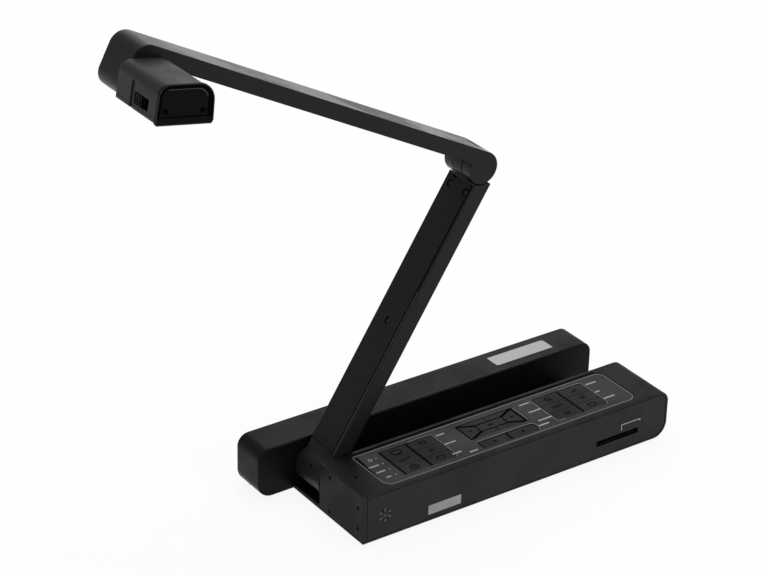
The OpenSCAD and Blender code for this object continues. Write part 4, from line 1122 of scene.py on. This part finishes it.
LEAST_TURN = 1e-6
CAP_SINK = 1.4
CAP_EDGE_IN = 0.5
CAP_EDGE_W = 0.8
BAND_IN = 2.25
BAND_W = 2.5
BAND_FROM = -10.0
ARC_IN = 0.5
ARC_W = 0.6
ARC_FROM = 4.0


def hull(points):
    """The corners of the smallest convex outline round points in a plane, anticlockwise."""
    ordered = np.unique(np.round(points, DIGITS), axis=0)
    sides = []
    for run in (ordered, ordered[::-1]):
        side = []
        for point in run:
            while len(side) > 1:
                (ax, ay), (bx, by) = side[-1] - side[-2], point - side[-1]
                if ax * by - ay * bx > LEAST_TURN:
                    break
                side.pop()
            side.append(point)
        sides += side[:-1]
    return np.array(sides)


def from_lowest(outline):
    """An outline that starts at its lowest corner."""
    return np.roll(outline, -int(np.argmin(outline[:, 1])), axis=0)


def cap_edges():
    """The end cap's bright outer edge with a dark band inside it, and a painted highlight along the upper
    edge of its sunk middle. Both outlines come from the CAD cap's own face and floor."""
    points = points_of("end_cap")
    face = points[:, 1].min()
    flat = (points - HEAD_AXIS) @ np.stack([HEAD_X, HEAD_Z], 1)
    outer = hull(flat[points[:, 1] < face + LEVEL])
    sunk = from_lowest(inset(hull(flat[np.abs(points[:, 1] - face - CAP_SINK) < LEVEL]), ARC_IN))
    band = inset(from_lowest(outer), BAND_IN)
    band = spaced([*band, band[0]])
    edge = loop(inset(outer, CAP_EDGE_IN), CAP_EDGE_W)
    inside = stroke(band[band[:, 1] > BAND_FROM], BAND_W)
    # A painted highlight along the upper edge of the sunk middle.
    gleam = stroke(sunk[sunk[:, 1] > ARC_FROM], ARC_W)
    parts = [on_head(edge, y=face), on_head(inside, y=face), on_head(gleam, y=face + CAP_SINK)]
    piece("cap_edges", parts, "head", (head_texture, ink_and_painted_shade, painted_gleam))


LENS_Y = -28.0
LAMP_Y = -46.0
BARREL = (
    (0.05, -9.0), (2.0, -9.0), (2.3, -9.5), (4.2, -9.9), (4.4, -10.3), (6.25, -10.5), (6.3, -12.7),
    (6.9, -13.1), (7.1, -12.9), (7.3, -13.1), (7.9, -13.7), (8.1, -13.75), (8.4, -13.5), (8.45, -13.2),
    (8.45, -10.2), (10.4, -10.2), (10.4, -9.0), (8.45, -9.0), (8.45, -2.8), (0.05, -2.8),
)
LAMP = (
    (0.05, -13.7), (1.4, -13.66), (2.6, -13.5), (3.5, -13.2), (3.9, -12.9), (3.9, -10.2), (5.1, -10.2),
    (5.1, -9.3), (0.05, -9.3),
)
GLASS_R = 6.15
GLASS_LOW = -13.05
GLASS_BULGE = 0.5
GLASS_TOP = -10.6
GLASS_MIDDLE = 0.05
GLASS_SHARES = np.linspace(0.01, 1, 12)


def lens():
    """The lens as surfaces of revolution: a stepped barrel with baffles, a bulging front glass, r * r
    falling, and the lamp's frosted dome beside it."""
    bulge = np.stack([GLASS_R * GLASS_SHARES, GLASS_LOW + GLASS_BULGE * GLASS_SHARES ** 2], -1)
    glass = [*bulge, (GLASS_R, GLASS_TOP), (GLASS_MIDDLE, GLASS_TOP)]
    for name, profile, y, material, slot, node in (
        ("lens_barrel_rings", BARREL, LENS_Y, soft_black, "black_plastic", "lens_barrel"),
        ("lens_front_glass", glass, LENS_Y, lens_coating, "lens_glass", "lens_glass"),
        ("lamp_dome", LAMP, LAMP_Y, lamp_milk, "light_pipe", "lamp_lens"),
    ):
        skin = placed(revolved(profile, steps=64), HEAD_AXIS + y * ALONG_Y, HEAD_X, ALONG_Y)
        piece(name, [skin], "head", (material,), [node])


TONGUES = ((60.0, 19.5, 11.0, 1.4), (90.0, 22.4, 6.6, 1.6))
TONGUE_SINK = 10.2
TONGUE_L = 8.5
TONGUE_R = 0.3


def port_tongues():
    """The ports' inner tongues: rounded slabs that stand out of the bottoms of their mouths."""
    parts = []
    for x, z, width, thick in TONGUES:
        outline = rectangle((-width / 2, width / 2), (-thick / 2, thick / 2))
        tongue = slab(outline, TONGUE_R, 0, TONGUE_L, TONGUE_R, steps=3)
        parts.append(placed(tongue, (x, PORT_FACE - TONGUE_SINK, z), -ALONG_X, UP))
    piece("port_tongues", [together(parts)], "base", (soft_black,))


for make in (
    panel_print_and_painted_light, front_print_and_gleams, status_lights, name_plate, feet, case_screws, cover_screws, cover_shade_and_gleam,
    elbow_washers, set_screw, cap_screws, cap_edges, lens, port_tongues,
):
    make()


# Light and floor, in metres

AIM = np.array([0.0, 0.0, 0.15])
NEARLY_Y = np.array([0.0, 1.0, 0.01])
LAMPS = (
    ("overhead", (0.2, 0.4, 1.9), 1.3, 15.0),
    ("front_soft", (0.5, -1.9, 1.2), 1.0, 8.0),
    ("back_soft", (1.0, 1.5, 1.2), 1.5, 6.0),
)
WHITE = (1, 1, 1, 1)
ROOM_LIGHT = 0.55
FLOOR_HALF = 40.0
FLOOR_TONE = 0.9
FLOOR_ROUGH = 0.9
FLOOR_GLOW = 0.9


def lamp(name, at, size, power):
    """A square soft lamp at a place, turned to the middle of the object."""
    data = bpy.data.lights.new(name, "AREA")
    data.size = size
    data.energy = power
    back = unit(np.array(at) - AIM)
    aimed(name, data, at, unit(np.cross(NEARLY_Y, back)), back)


def background():
    """An even, half-bright room round the object."""
    world = bpy.data.worlds.new("studio")
    world.use_nodes = True
    scene.world = world
    surround = world.node_tree.nodes["Background"]
    surround.inputs["Color"].default_value = WHITE
    surround.inputs["Strength"].default_value = ROOM_LIGHT


def floor():
    """A pale floor that the camera sees nearly white, and that takes the object's shadow."""
    material, tree, shader, _ = blank("floor")
    shader.inputs["Base Color"].default_value = (FLOOR_TONE, FLOOR_TONE, FLOOR_TONE, 1)
    shader.inputs["Roughness"].default_value = FLOOR_ROUGH
    shader.inputs["Specular IOR Level"].default_value = 0.0
    path = tree.nodes.new("ShaderNodeLightPath").outputs
    mirrored = sums(tree, "MAXIMUM", path["Is Glossy Ray"], path["Is Transmission Ray"])
    seen = sums(tree, "MAXIMUM", path["Is Camera Ray"], mirrored)
    glow = fed(tree, "Emission", {"Color": WHITE, "Strength": 1.0})
    share = sums(tree, "MULTIPLY", seen, FLOOR_GLOW)
    mix = fed(tree, "MixShader", {0: share, 1: shader.outputs[0], 2: glow.outputs[0]})
    tree.links.new(mix.outputs[0], tree.nodes["Material Output"].inputs["Surface"])
    corners = rectangle((-FLOOR_HALF, FLOOR_HALF), (-FLOOR_HALF, FLOOR_HALF))
    mesh = bpy.data.meshes.new("floor")
    mesh.from_pydata([(x, y, 0) for x, y in corners], [], [(0, 1, 2, 3)])
    mesh.materials.append(material)
    made = bpy.data.objects.new("floor", mesh)
    scene.collection.objects.link(made)


for entry in LAMPS:
    lamp(*entry)
background()
floor()
